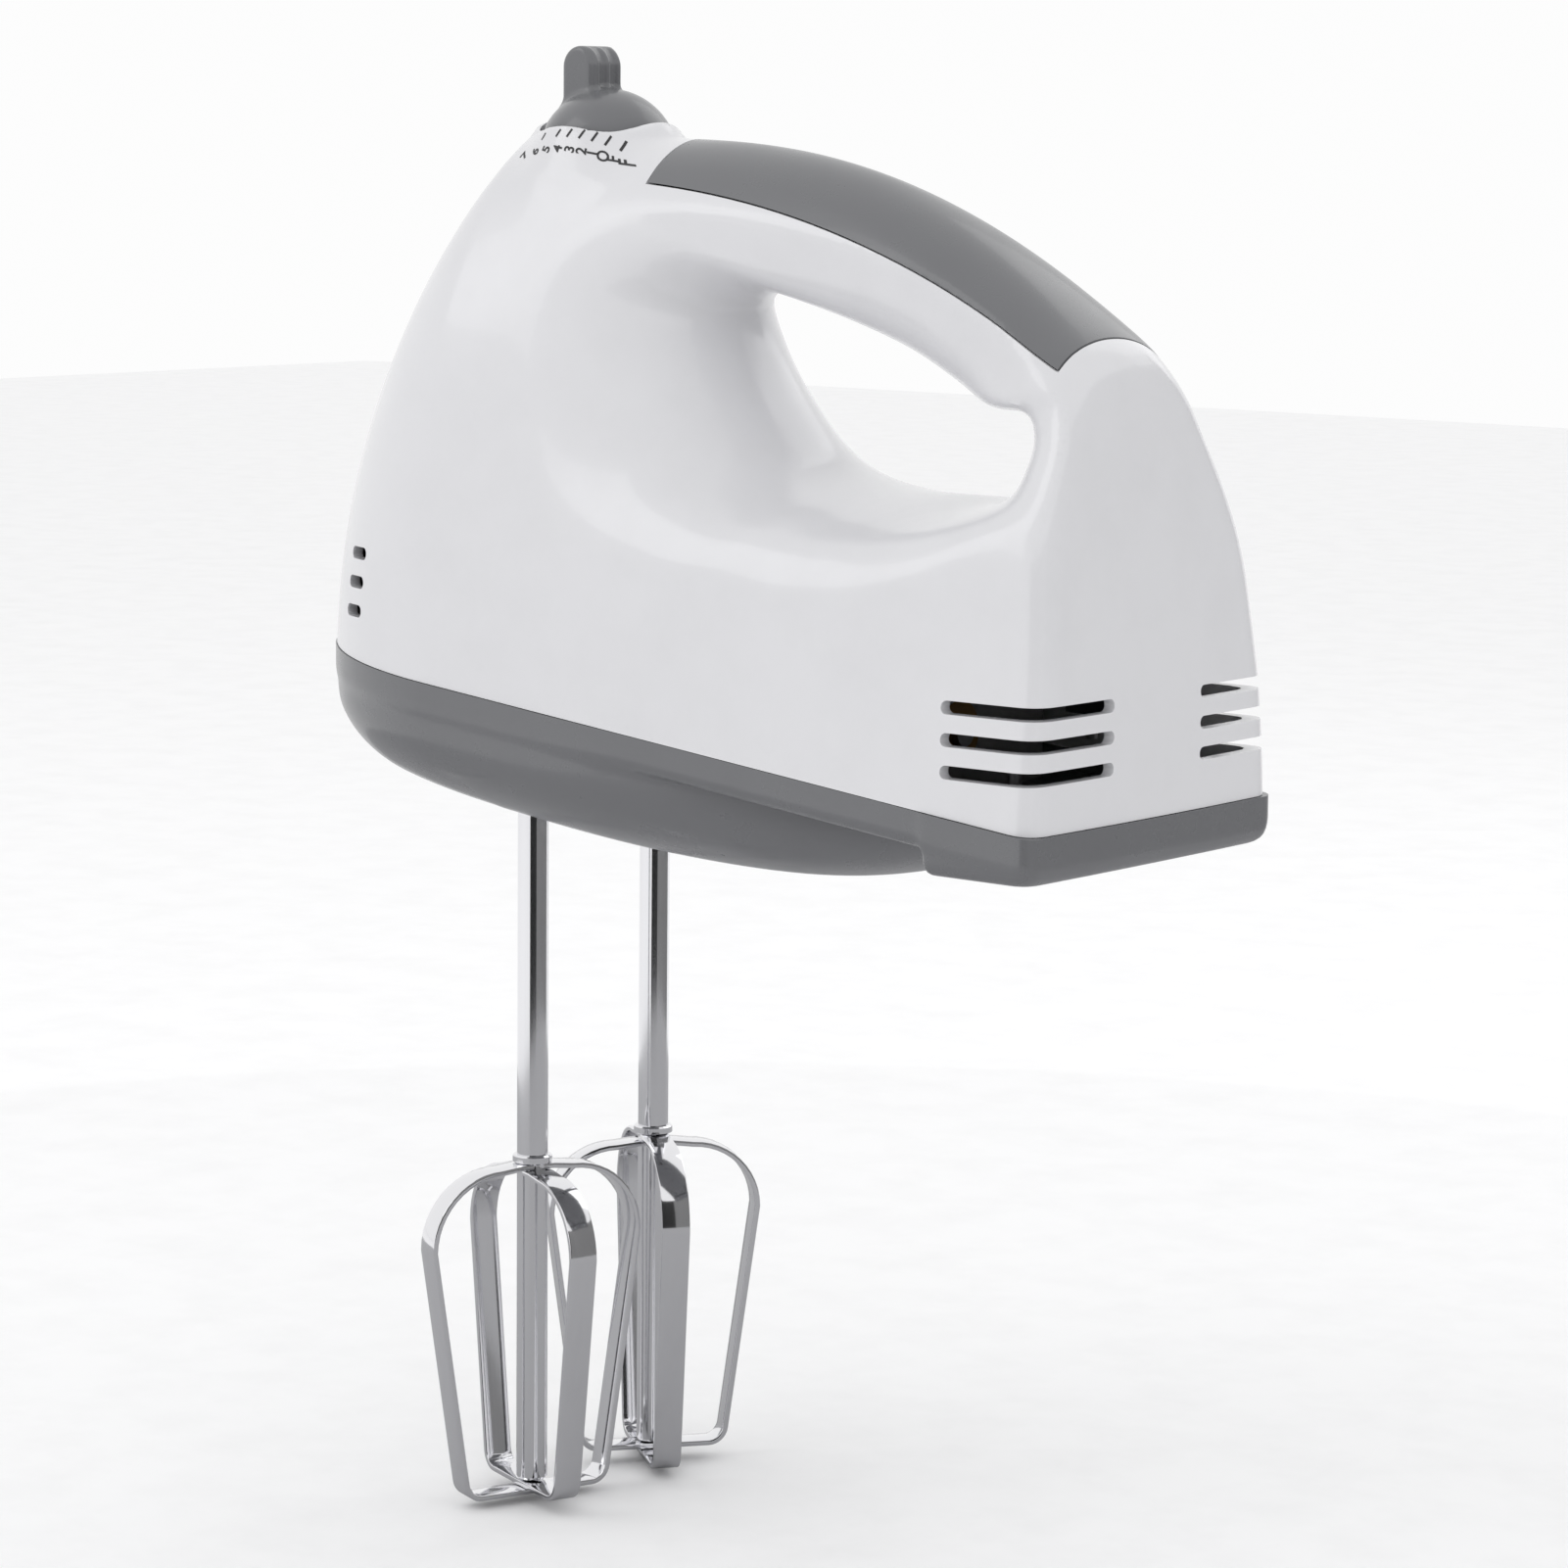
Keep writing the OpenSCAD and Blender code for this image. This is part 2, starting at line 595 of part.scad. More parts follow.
// Beaters
groove_z = hub_top - 2.9;
module beater_shaft(s) {
  color([0.8, 0.8, 0.82]) translate([bx, s * by, 0]) difference() {
    union() {
      translate([0, 0, 2.6]) cylinder(d = shaft_d, h = shaft_top - 3.6);
      translate([0, 0, shaft_top - 1]) cylinder(d1 = shaft_d, d2 = shaft_d - 1.4, h = 1);
    }
    translate([0, 0, groove_z]) rotate_extrude() translate([shaft_d / 2 - 0.4, 0]) square([2, 1.6]);
  }
}
shoulder_r = 15;
tip_r = 4;
tip_w = 12;
function loop_side(r, h, sr) = concat(
  [for (a = [90:-12.857:0]) [r - sr + sr * cos(a), h - 0.5 - sr + sr * sin(a)]],
  [for (a = [-8:-20.5:-90]) [tip_w * r / (loop_d / 2) + tip_r * cos(a), loop_h - h + tip_r + tip_r * sin(a)]]);
function loop_outline(inset) = let (r = loop_side(loop_d / 2 - inset, loop_h - inset, shoulder_r - inset))
  concat([[3.4, loop_h - inset]], r, [for (i = [len(r) - 1:-1:0]) [-r[i][0], r[i][1]]], [[-3.4, loop_h - inset]]);
module strip_loop(inset) {
  translate([0, strip_w / 2, 0]) rotate([90, 0, 0]) linear_extrude(strip_w) difference() {
    polygon(loop_outline(inset));
    polygon(loop_outline(inset + strip_t));
  }
}
module beater_loops(s) {
  turn = s < 0 ? -22 : -39;
  color([0.8, 0.8, 0.82]) translate([bx, s * by, 0]) difference() {
    union() {
      rotate([0, 0, turn]) strip_loop(0);
      rotate([0, 0, turn + 90]) strip_loop(strip_t + 0.1);
    }
    translate([0, 0, 2.5]) cylinder(d = shaft_d, h = shaft_top);
  }
}
module beater_collar(s) {
  color([0.8, 0.8, 0.82]) translate([bx, s * by, loop_h + 0.1]) difference() {
    cylinder(d = shaft_d + 1.6, h = 1.6);
    translate([0, 0, -1]) cylinder(d = shaft_d, h = 4);
  }
}
module left_beater_shaft() { beater_shaft(-1); }
module right_beater_shaft() { beater_shaft(1); }
module left_beater_loops() { beater_loops(-1); }
module right_beater_loops() { beater_loops(1); }
module left_beater_collar() { beater_collar(-1); }
module right_beater_collar() { beater_collar(1); }

// Motor: everything turns about an axis along X at the worm's height
module on_axis(x) { translate([bx + x, 0, worm_z]) rotate([0, 90, 0]) children(); }
module motor_shaft() {
  color("silver") on_axis(-worm_l / 2 - 3) cylinder(d = motor_shaft_d, h = motor_end + worm_l / 2 + 3);
}
module worm() {
  p = PI * gear_m;
  turns = worm_l / p;
  color("gray") on_axis(-worm_l / 2) difference() {
    linear_extrude(worm_l, twist = -360 * turns, slices = round(turns * 9))
      translate([thread_h, 0]) circle(r = worm_pr - mesh_gap, $fn = 20);
    translate([0, 0, -1]) cylinder(d = motor_shaft_d, h = worm_l + 2);
  }
}
module armature_core() {
  color([0.5, 0.5, 0.52]) on_axis(stack_x) difference() {
    cylinder(d = armature_d, h = stack_l);
    translate([0, 0, -1]) cylinder(d = motor_shaft_d, h = stack_l + 2);
    for (a = [0:30:359]) rotate([0, 0, a]) translate([armature_d / 2 - 2, -0.6, -1]) cube([3, 1.2, stack_l + 2]);
  }
}
module armature_winding() {
  color([0.72, 0.4, 0.2]) for (x = [stack_x - coil_over, stack_x + stack_l]) on_axis(x) difference() {
    cylinder(d = armature_d - 3, h = coil_over);
    translate([0, 0, -1]) cylinder(d = motor_shaft_d + 0.02, h = coil_over + 2);
  }
}
module commutator() {
  color([0.75, 0.45, 0.25]) on_axis(comm_x) difference() {
    cylinder(d = comm_d, h = comm_l);
    translate([0, 0, -1]) cylinder(d = motor_shaft_d, h = comm_l + 2);
    for (a = [0:30:359]) rotate([0, 0, a]) translate([comm_d / 2 - 0.6, -0.25, -1]) cube([3, 0.5, comm_l + 2]);
  }
}
module cooling_fan() {
  color([0.2, 0.2, 0.22]) on_axis(fan_x) difference() {
    union() {
      cylinder(d = fan_d, h = 1.5);
      cylinder(d = 12, h = fan_l);
      for (a = [0:30:359]) rotate([0, 0, a]) translate([5, -0.6, 1]) cube([fan_d / 2 - 6, 1.2, fan_l - 1]);
    }
    translate([0, 0, -1]) cylinder(d = motor_shaft_d, h = fan_l + 2);
  }
}
pole_r = armature_d / 2 + air_gap;
module stator_core() {
  color([0.5, 0.5, 0.52]) on_axis(stack_x) difference() {
    translate([-stator_h / 2, -stator_w / 2, 0]) cube([stator_h, stator_w, stack_l]);
    translate([0, 0, -1]) cylinder(r = pole_r, h = stack_l + 2);
    for (s = [-1, 1]) translate([-stator_h / 2 + 5, s * (pole_r - 1) - 4 + s * 4, -1]) cube([stator_h - 10, 8, stack_l + 2]);
    for (s = [-1, 1], t = [-1, 1]) translate([s * (stator_h / 2 - 2.6), t * (stator_w / 2 - 2.6), -1]) cylinder(d = 3.2, h = stack_l + 2);
  }
}
module field_coils() {
  color([0.72, 0.4, 0.2]) for (s = [-1, 1]) on_axis(stack_x - coil_over + 0.5) difference() {
    translate([-stator_h / 2 + 5.2, s * (pole_r + 3) - 3.4, 0]) cube([stator_h - 10.4, 6.8, stack_l + 2 * coil_over - 1]);
    translate([-stator_h / 2 + 9, s * (pole_r + 3) - 5, 4]) cube([stator_h - 18, 10, stack_l + 2 * coil_over - 9]);
    translate([0, 0, -1]) cylinder(r = pole_r, h = stack_l + 30);
  }
}
module bracket(x, t, w, h) {
  color([0.75, 0.75, 0.73]) on_axis(x) difference() {
    union() {
      translate([-h / 2, -w / 2, 0]) cube([h, w, t]);
      translate([0, 0, 0]) cylinder(d = bearing_d + 5, h = t);
    }
    translate([0, 0, -1]) cylinder(d = bearing_d, h = t + 2);
  }
}
bracket_h = 22;
module front_bracket() { bracket(front_x, front_t, stator_w, bracket_h); }
module rear_bracket() {
  bracket(rear_x, bracket_t, 2 * brush_out, bracket_h);
  arm_x = comm_x + comm_l / 2 + brush_w / 2 + 1;
  color([0.75, 0.75, 0.73]) for (s = [-1, 1]) on_axis(arm_x)
    translate([-3, s * (brush_out - 2.25) - 2.25, 0]) cube([6, 4.5, rear_x - arm_x + 0.1]);
}
module bearing(x, t) {
  color([0.7, 0.55, 0.35]) on_axis(x) difference() {
    cylinder(d = bearing_d, h = t);
    translate([0, 0, -1]) cylinder(d = motor_shaft_d + 2 * run_fit, h = t + 2);
  }
}
module front_bearing() { bearing(front_x, front_t); }
module rear_bearing() { bearing(rear_x, bracket_t); }
module motor_screws() {
  color("silver") for (s = [-1, 1], t = [-1, 1])
    on_axis(stack_x - 1) translate([s * (stator_h / 2 - 2.6), t * (stator_w / 2 - 2.6), 0])
      pan_screw(3, stack_l + 4, 5, 1.8);
}

// Brush gear on both sides of the commutator
brush_w = 5;
brush_out = stator_w / 2 + 3;
module side_tool(s, y0) { translate([bx + comm_x + comm_l / 2, s * y0, worm_z]) rotate([s * -90, 0, 0]) children(); }
module brush_holders() {
  color([0.85, 0.75, 0.45]) for (s = [-1, 1]) side_tool(s, comm_d / 2 + 1.5) difference() {
    translate([-brush_w / 2 - 1, -brush_w / 2 - 1, 0]) cube([brush_w + 2, brush_w + 2, brush_out - comm_d / 2 - 1.5]);
    translate([-brush_w / 2, -brush_w / 2, -1]) cube([brush_w, brush_w, 40]);
  }
}
module carbon_brushes() {
  color([0.15, 0.15, 0.16]) for (s = [-1, 1]) side_tool(s, comm_d / 2 + 0.05) difference() {
    translate([-brush_w / 2 + 0.1, -brush_w / 2 + 0.1, 0]) cube([brush_w - 0.2, brush_w - 0.2, 8]);
    translate([0, 0, 7]) cylinder(d = 2, h = 2);
  }
}
module brush_springs() {
  color("silver") for (s = [-1, 1]) side_tool(s, comm_d / 2 + 8.1)
    coil(1.6, 0.6, brush_out - comm_d / 2 - 8.2, 5, 6);
}
module brush_caps() {
  color([0.2, 0.2, 0.2]) for (s = [-1, 1]) side_tool(s, brush_out)
    translate([-brush_w / 2 - 1, -brush_w / 2 - 1, 0]) cube([brush_w + 2, brush_w + 2, 1.6]);
}

module filter_capacitor() {
  color([0.85, 0.75, 0.2]) translate([bx + stack_x - 3, -8, worm_z + stator_h / 2 + 1]) cube([18, 16, 8]);
}

// Cord inlet on the far side near the heel
cord_x = heel - 20;
cord_z = foot_z + 44;
cord_y = half_w(cord_z) * (1 - narrow(cord_z) * 0.7);
clamp_y = cord_y - 18;
clamp_z = foot_z + 24;
module cord_seat() {
  translate([cord_x, cord_y - 8, cord_z]) rotate([-90, 0, 0]) cylinder(d = cord_d + 5, h = 20);
}
module cord_bushing() {
  color([0.2, 0.2, 0.2]) translate([cord_x, cord_y, cord_z]) rotate([-90, 0, 0]) difference() {
    union() {
      translate([0, 0, -8]) cylinder(d = cord_d + 5, h = 9.6);
      translate([0, 0, -wall - 5]) cylinder(d = cord_d + 9, h = 2);
    }
    translate([0, 0, -9]) cylinder(d = cord_d, h = 20);
  }
}
module cord_clamp() {
  color([0.25, 0.25, 0.27]) translate([cord_x, clamp_y, clamp_z]) difference() {
    translate([-9, -4, 0]) cube([18, 8, 3]);
    for (s = [-1, 1]) translate([s * 6, 0, -1]) cylinder(d = 2.4, h = 6);
  }
}
module cord_clamp_screws() {
  color("silver") for (s = [-1, 1]) translate([cord_x + s * 6, clamp_y, clamp_z + 3])
    rotate([180, 0, 0]) pan_screw(2.4, 8, 4.4, 1.5);
}

// Leads from the switch down to the motor
module lead(a, b) {
  hull() {
    translate(a) sphere(d = 1.8, $fn = 12);
    translate(b) sphere(d = 1.8, $fn = 12);
  }
}
module motor_leads() {
  x = dial_x + 11;
  z = worm_z + 12;
  coil_y = pole_r + 3;
  color([0.8, 0.1, 0.1]) for (s = [-1, 1]) {
    lead([x, s * 8.5, switch_z - 4], [x, s * coil_y, z]);
    lead([x, s * coil_y, z], [bx + stack_x - coil_over - 0.5, s * coil_y, z]);
  }
}

upper_housing();
handle_cover();
bottom_cover();
housing_screws();
cover_screws();
speed_dial();
dial_spindle();
dial_clip();
switch_base();
switch_rotor();
switch_contacts();
ejector_rod();
ejector_yoke();
ejector_spring();
gear_frame();
gear_cap();
gear_cap_screws();
left_gear();
right_gear();
left_spring_clip();
right_spring_clip();
left_beater_shaft();
left_beater_loops();
left_beater_collar();
right_beater_shaft();
right_beater_loops();
right_beater_collar();
motor_shaft();
worm();
armature_core();
armature_winding();
commutator();
cooling_fan();
stator_core();
field_coils();
front_bracket();
rear_bracket();
front_bearing();
rear_bearing();
motor_screws();
brush_holders();
carbon_brushes();
brush_springs();
brush_caps();
filter_capacitor();
cord_bushing();
cord_clamp();
cord_clamp_screws();
motor_leads();
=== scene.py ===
"""Hand mixer: moulded shells, dial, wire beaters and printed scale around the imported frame."""
import json
import math

import bmesh
import bpy
import numpy as np
from mathutils import Matrix, Vector
from mathutils.bvhtree import BVHTree


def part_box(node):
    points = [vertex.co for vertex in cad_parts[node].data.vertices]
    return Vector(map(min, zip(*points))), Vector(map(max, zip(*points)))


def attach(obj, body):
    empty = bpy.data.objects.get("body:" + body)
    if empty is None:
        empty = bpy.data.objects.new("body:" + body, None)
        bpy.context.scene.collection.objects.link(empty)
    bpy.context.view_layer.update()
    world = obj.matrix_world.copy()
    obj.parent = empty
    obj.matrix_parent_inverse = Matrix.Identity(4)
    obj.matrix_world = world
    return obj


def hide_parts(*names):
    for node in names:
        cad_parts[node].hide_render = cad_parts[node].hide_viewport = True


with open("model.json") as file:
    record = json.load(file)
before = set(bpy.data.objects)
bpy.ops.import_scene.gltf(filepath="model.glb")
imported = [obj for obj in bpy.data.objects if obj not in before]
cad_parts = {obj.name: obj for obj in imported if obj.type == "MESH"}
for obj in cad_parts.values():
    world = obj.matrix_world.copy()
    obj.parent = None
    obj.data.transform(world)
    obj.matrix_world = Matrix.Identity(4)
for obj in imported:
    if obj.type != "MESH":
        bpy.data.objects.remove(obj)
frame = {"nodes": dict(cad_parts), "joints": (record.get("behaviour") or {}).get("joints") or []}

bl_info = {
    "name": "Hand mixer",
    "version": (1, 0, 0),
    "blender": (4, 5, 0),
    "location": "View3D > Sidebar > Mixer",
    "description": "Builds the shells, dial, beaters and printed scale of a hand mixer",
    "category": "Add Mesh",
}

MM = 0.001


def joint(name):
    """The frame's joint of that name."""
    return next(j for j in frame["joints"] if j["name"] == name)


def corner(node, which, axis):
    """One coordinate of a node's box, in millimetres; which is 0 for low and 1 for high."""
    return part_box(node)[which][axis] / MM


# Places taken from the frame, in millimetres
HEEL = corner("upper_housing", 1, 0)
SHAFT_X = joint("left_drive_spin")["pos_m"][0] / MM
SHAFT_Y = joint("right_drive_spin")["pos_m"][1] / MM
DIAL_X = joint("dial_turn")["pos_m"][0] / MM
DIAL_Z = joint("dial_turn")["pos_m"][2] / MM
CREST = DIAL_Z + 1.7  # top of the moulding round the dial
LOOP_TOP = corner("left_beater_loops", 1, 2)
SHAFT_TOP = corner("left_beater_shaft", 1, 2)
AXIS_ABOVE_FOOT = 20
FOOT = joint("rotor_spin")["pos_m"][2] / MM - AXIS_ABOVE_FOOT  # underside of the heel foot


class MixerShape(bpy.types.PropertyGroup):
    """Sizes of the moulded pieces, in millimetres."""

    half_width: bpy.props.FloatProperty(
        name="Half width", description="Half of the body's greatest width", default=38.0)
    wall: bpy.props.FloatProperty(
        name="Wall", description="Thickness of the moulded shells", default=2.2)
    grip_height: bpy.props.FloatProperty(
        name="Grip height", description="From the finger loop to the crest", default=28.1)
    crest_drop: bpy.props.FloatProperty(
        name="Crest drop", description="Drop of the handle's crest to the heel", default=38.0)
    cover_front: bpy.props.FloatProperty(
        name="Cover front", description="Height of the grip cover's sides at the dial", default=9.6)
    cover_side: bpy.props.FloatProperty(
        name="Cover rear", description="Height of the grip cover's sides at the heel", default=5.3)
    joint_gap: bpy.props.FloatProperty(
        name="Joint gap", description="Gap round the grip cover", default=0.3)
    dial_radius: bpy.props.FloatProperty(
        name="Dial radius", description="Radius of the speed dial", default=12.5)
    fin_height: bpy.props.FloatProperty(
        name="Fin height", description="Height of the thumb fin above the hole", default=18.7)
    shaft_radius: bpy.props.FloatProperty(
        name="Shaft radius", description="Radius of the beater shafts", default=3.0)
    strip_width: bpy.props.FloatProperty(
        name="Strip width", description="Width of the beater strips", default=5.6)
    strip_thick: bpy.props.FloatProperty(
        name="Strip thickness", description="Thickness of the beater strips", default=1.1)


class MixerFinish(bpy.types.PropertyGroup):
    """Colours of the mixer."""

    shell: bpy.props.FloatVectorProperty(
        name="Shell", description="Glossy white of the housing", subtype="COLOR",
        default=(0.66, 0.66, 0.68))
    trim: bpy.props.FloatVectorProperty(
        name="Trim", description="Grey of the grip cover, base and dial", subtype="COLOR",
        default=(0.135, 0.137, 0.145))
    chrome: bpy.props.FloatVectorProperty(
        name="Chrome", description="Plating of the beaters", subtype="COLOR",
        default=(0.80, 0.80, 0.82))
    ink: bpy.props.FloatVectorProperty(
        name="Ink", description="Printed scale", subtype="COLOR", default=(0.012, 0.012, 0.014))


# ---------------------------------------------------------------- fields, in millimetres

def share(v, lo, hi):
    """How far v is from lo to hi, held between 0 and 1."""
    return np.clip((v - lo) / (hi - lo), 0, 1)


def eased(v, lo, hi):
    """Like share, but leaving and arriving gently."""
    t = share(v, lo, hi)
    return t * t * (3 - 2 * t)


def joined(a, b, soft):
    """The larger of two fields, with a rounded edge where they meet."""
    h = np.clip(soft - abs(a - b), 0, None) / soft
    return np.maximum(a, b) + h * h * soft / 4


def merged(a, b, soft):
    """The smaller of two fields, with a filled corner where they meet."""
    return -joined(-a, -b, soft)


CREST_X = SHAFT_X + 22
CROWN = CREST + 1.3
CREST_BEND = 2.15
HEEL_RAKE = 8
CREST_RUN = HEEL - HEEL_RAKE - CREST_X
WIDEST_X = SHAFT_X - 10.5
SEAM_RISE = 8.9
SEAM_SLOPE = 0.107
LOOP_C = (46.0, FOOT + 74.5)
NOSE = -92.7


def nose_x(z):
    """Front end of the body at a height."""
    return NOSE + 46.4 * share(z, FOOT + 22, CREST) ** 2.02


def heel_x(z, drop):
    """Rear end of the body at a height."""
    return HEEL - HEEL_RAKE * share(z, FOOT + 27, CREST - drop) ** 1.6


def top_z(x, drop):
    """Crest of the body, which falls toward the heel."""
    return CROWN - drop * np.clip((x - CREST_X) / CREST_RUN, 0, None) ** CREST_BEND


def seam_z(x):
    """Height of the sloping seam between housing and bottom cover."""
    return FOOT + SEAM_RISE + (HEEL - x) * SEAM_SLOPE


def side_square(x, z, s):
    """Square of the body's half width, running below zero outside its outline."""
    w = s.half_width * (1 - 0.985 * share(z, FOOT + 27, CREST) ** 2.4) ** 0.52
    nose = 1 - ((WIDEST_X - x) / (WIDEST_X - nose_x(z))) ** 2
    back = CREST_X + CREST_RUN * (np.clip(CROWN - z, 0, None) / s.crest_drop) ** (1 / CREST_BEND)
    back = np.minimum(heel_x(z, s.crest_drop), back)
    narrow = 0.13 * eased(z, FOOT + 6, FOOT + 54) + 0.4 * eased(z, FOOT + 48, FOOT + 102)
    q = np.clip((x - WIDEST_X) / np.maximum(1, back - WIDEST_X), 0, 1)
    return w * w * np.where(x < WIDEST_X, nose, (1 - narrow * q * q) ** 2)


def core(x, y, z, s):
    """The body with no finger loop."""
    sq = side_square(x, z, s)
    side = (y * y - sq) / (abs(y) + np.sqrt(np.clip(sq, 0, None)) + 12)
    rear = x - heel_x(z, s.crest_drop) + 0.6 * (y / s.half_width) ** 2
    top = (z - top_z(x, s.crest_drop)) * 0.9 + 0.012 * y * y
    whole = joined(joined(side, rear, 4.5), top, 5)
    around = np.hypot(x - DIAL_X, y)
    turn = np.arctan2(y, x - DIAL_X)
    lip = DIAL_Z + 2.55 + 0.6 * np.cos(4 * turn) + 0.6 * np.sin(turn) ** 2
    collar = joined(around - 13.4 - 0.4 * np.minimum(lip - z, 9), z - lip, 1)
    return merged(whole, collar, 6)


def through(points, steps):
    """Smooth closed curve through a few points."""
    p = np.array(points, float)
    out = []
    for i in range(len(p)):
        a, b, c, d = (p[(i + k - 1) % len(p)] for k in range(4))
        for t in np.arange(steps) / steps:
            out.append(0.5 * (2 * b + (c - a) * t + (2 * a - 5 * b + 4 * c - d) * t * t
                              + (3 * b - a - 3 * c + d) * t ** 3))
    return np.array(out)


def throat_outline(s):
    """The finger loop at the middle plane: its roof runs a grip's height below the crest."""
    roof = [(x, top_z(x, s.crest_drop) - s.grip_height) for x in (62, 44, 26, 10)]
    front = [(2.3, FOOT + 95), (5.2, FOOT + 86), (12.8, FOOT + 76), (22.5, FOOT + 67.5)]
    floor = [(36, FOOT + 64), (52, FOOT + 63.4), (66, FOOT + 63.6)]
    rear = [(75, FOOT + 66.5), (77, FOOT + 72), (76.5, FOOT + 76.5), (73, FOOT + 79.5)]
    return through(floor + rear + roof + front, 12)


FLARE_BLUR = 6  # half window of the flare's smoothing, in degrees
# Direction from the loop's middle in degrees, half width of the flare, depth of the flare
FLARE = [(-42, 38, 21), (-25, 36, 15), (-10, 27, 13), (3, 21, 11), (20, 17, 12.5),
         (35, 15.5, 13.4), (138, 15.5, 13.4), (147, 19, 20), (156, 27, 38), (165, 33, 54),
         (180, 37, 62), (190, 38, 53), (200, 38, 39), (225, 38, 22), (270, 38, 19)]


def rounded_flare(column):
    """One column of the flare at every whole degree from -180 to 180, its corners smoothed."""
    margin = 2 * FLARE_BLUR
    every = np.arange(-180 - margin, 181 + margin)
    values = np.interp(every, [k[0] for k in FLARE], [k[column] for k in FLARE], period=360)
    window = np.ones(margin + 1) / (margin + 1)
    for _ in range(2):
        values = np.convolve(np.pad(values, FLARE_BLUR, mode="edge"), window, mode="valid")
    return values[margin:-margin]


def finger_loop(x, y, z, s):
    """The hollow for the fingers: a throat that flares to both sides."""
    dx, dz = x - LOOP_C[0], z - LOOP_C[1]
    turn = np.degrees(np.arctan2(dz, dx))
    line = throat_outline(s) - np.array(LOOP_C)
    line_turn = np.degrees(np.arctan2(line[:, 1], line[:, 0]))
    order = np.argsort(line_turn)
    throat = np.interp(turn, line_turn[order], np.hypot(*line[order].T), period=360)
    wide, deep = (np.interp(turn, np.arange(-180, 181), rounded_flare(k)) for k in (1, 2))
    r = abs(y) / wide
    flare = 1 - np.sqrt(1 - np.clip(r, 0, 0.999) ** 2) + 6 * np.clip(r - 0.999, 0, None)
    return (np.hypot(dx, dz) - throat - deep * flare) * 0.8


def body_field(x, y, z, s):
    """The body with its finger loop."""
    return joined(core(x, y, z, s), -finger_loop(x, y, z, s), 5)


# Bottom cover: the belly's rear end and lowest place, the ledge under the seam, the sockets
BELLY_BACK = SHAFT_X + 111
BELLY_LOW = SHAFT_X + 57
LEDGE = 6.9
FOOT_FRONT = HEEL - 24
BOSS_TIP = 5.4
BOSS_SPREAD = 1.6


def keel_z(x):
    """Lowest line of the belly."""
    front = 15.2 * np.clip((BELLY_LOW - x) / (BELLY_LOW - NOSE), 0, 1) ** 1.75
    tip = 10 * share(-x, -NOSE - 30, -NOSE) ** 2
    back = 13.5 * share(x, BELLY_LOW, BELLY_BACK) ** 2.3
    return FOOT - 8.5 + np.where(x < BELLY_LOW, front + tip, back)


def base_field(x, y, z, s):
    """Boat-shaped belly, ledge beside it and foot at the heel, all below the seam."""
    sq = side_square(x, np.minimum(z, FOOT + 20), s)
    side = (y * y - sq) / (abs(y) + np.sqrt(np.clip(sq, 0, None)) + 12)
    side = joined(side, x - HEEL + 0.5 * (y / s.half_width) ** 2, 3.2)
    full = np.sqrt(np.clip(1 - share(WIDEST_X - x, 0, WIDEST_X - NOSE) ** 2, 1e-4, 1))
    width = s.half_width * full * (1 - 0.82 * share(x, SHAFT_X + 8, BELLY_BACK + 3) ** 2.3)
    low = seam_z(x) - 6
    deep = np.maximum(0.5, low - keel_z(x))
    u = np.clip(low - z, 0, None) / deep
    belly = ((u ** 2.4 + (abs(y) / width) ** 2.4) ** (1 / 2.4) - 1) * np.minimum(deep, 22)
    belly = joined(belly, x - BELLY_BACK, 3)
    rim = joined(side, seam_z(x) - LEDGE - z, 3)
    foot = joined(joined(side, FOOT - z, 3), FOOT_FRONT - x, 2)
    whole = merged(merged(joined(belly, side, 1), rim, 1.2), foot, 1.5)
    for hand in (-1, 1):
        up = z - FOOT + 0.5
        cone = (np.hypot(x - SHAFT_X, y - hand * SHAFT_Y) - BOSS_TIP - BOSS_SPREAD * up) / 1.9
        whole = merged(whole, joined(cone, abs(up - 4) - 4, 1), 1)
    return whole


# Speed dial: dome above its rim, and the thumb fin
DOME_LOW = 2.4
DOME_H = 8.3
FIN_X = -3.8
FIN_LONG = 8
FIN_WIDE = 9.4


def dial_field(x, y, z, s):
    """Domed cap with a thumb fin; x, y and z are measured from the middle of its rim."""
    r = np.hypot(x, y)
    ball = (s.dial_radius ** 2 + DOME_H ** 2) / (2 * DOME_H)
    dome = joined(np.sqrt(r * r + (z - DOME_LOW - DOME_H + ball) ** 2) - ball, r - s.dial_radius, 1)
    dome = joined(dome, -5 - z, 0.8)
    dx = x - FIN_X
    round_z = s.fin_height - FIN_LONG / 2
    slab = np.where(z > round_z, np.hypot(dx, z - round_z), abs(dx)) - FIN_LONG / 2
    groove = 0.55 * np.clip(np.cos(y * 2 * math.pi / 3.1), -0.2, 1) * share(x, FIN_X + 1, FIN_X + 3)
    slab = slab + 0.5 * share(x, FIN_X + 1, FIN_X + 3) - groove
    fin = joined(joined(slab, abs(y) - FIN_WIDE / 2, 1.2), DOME_LOW - z, 1)
    return merged(dome, fin, 1.4)


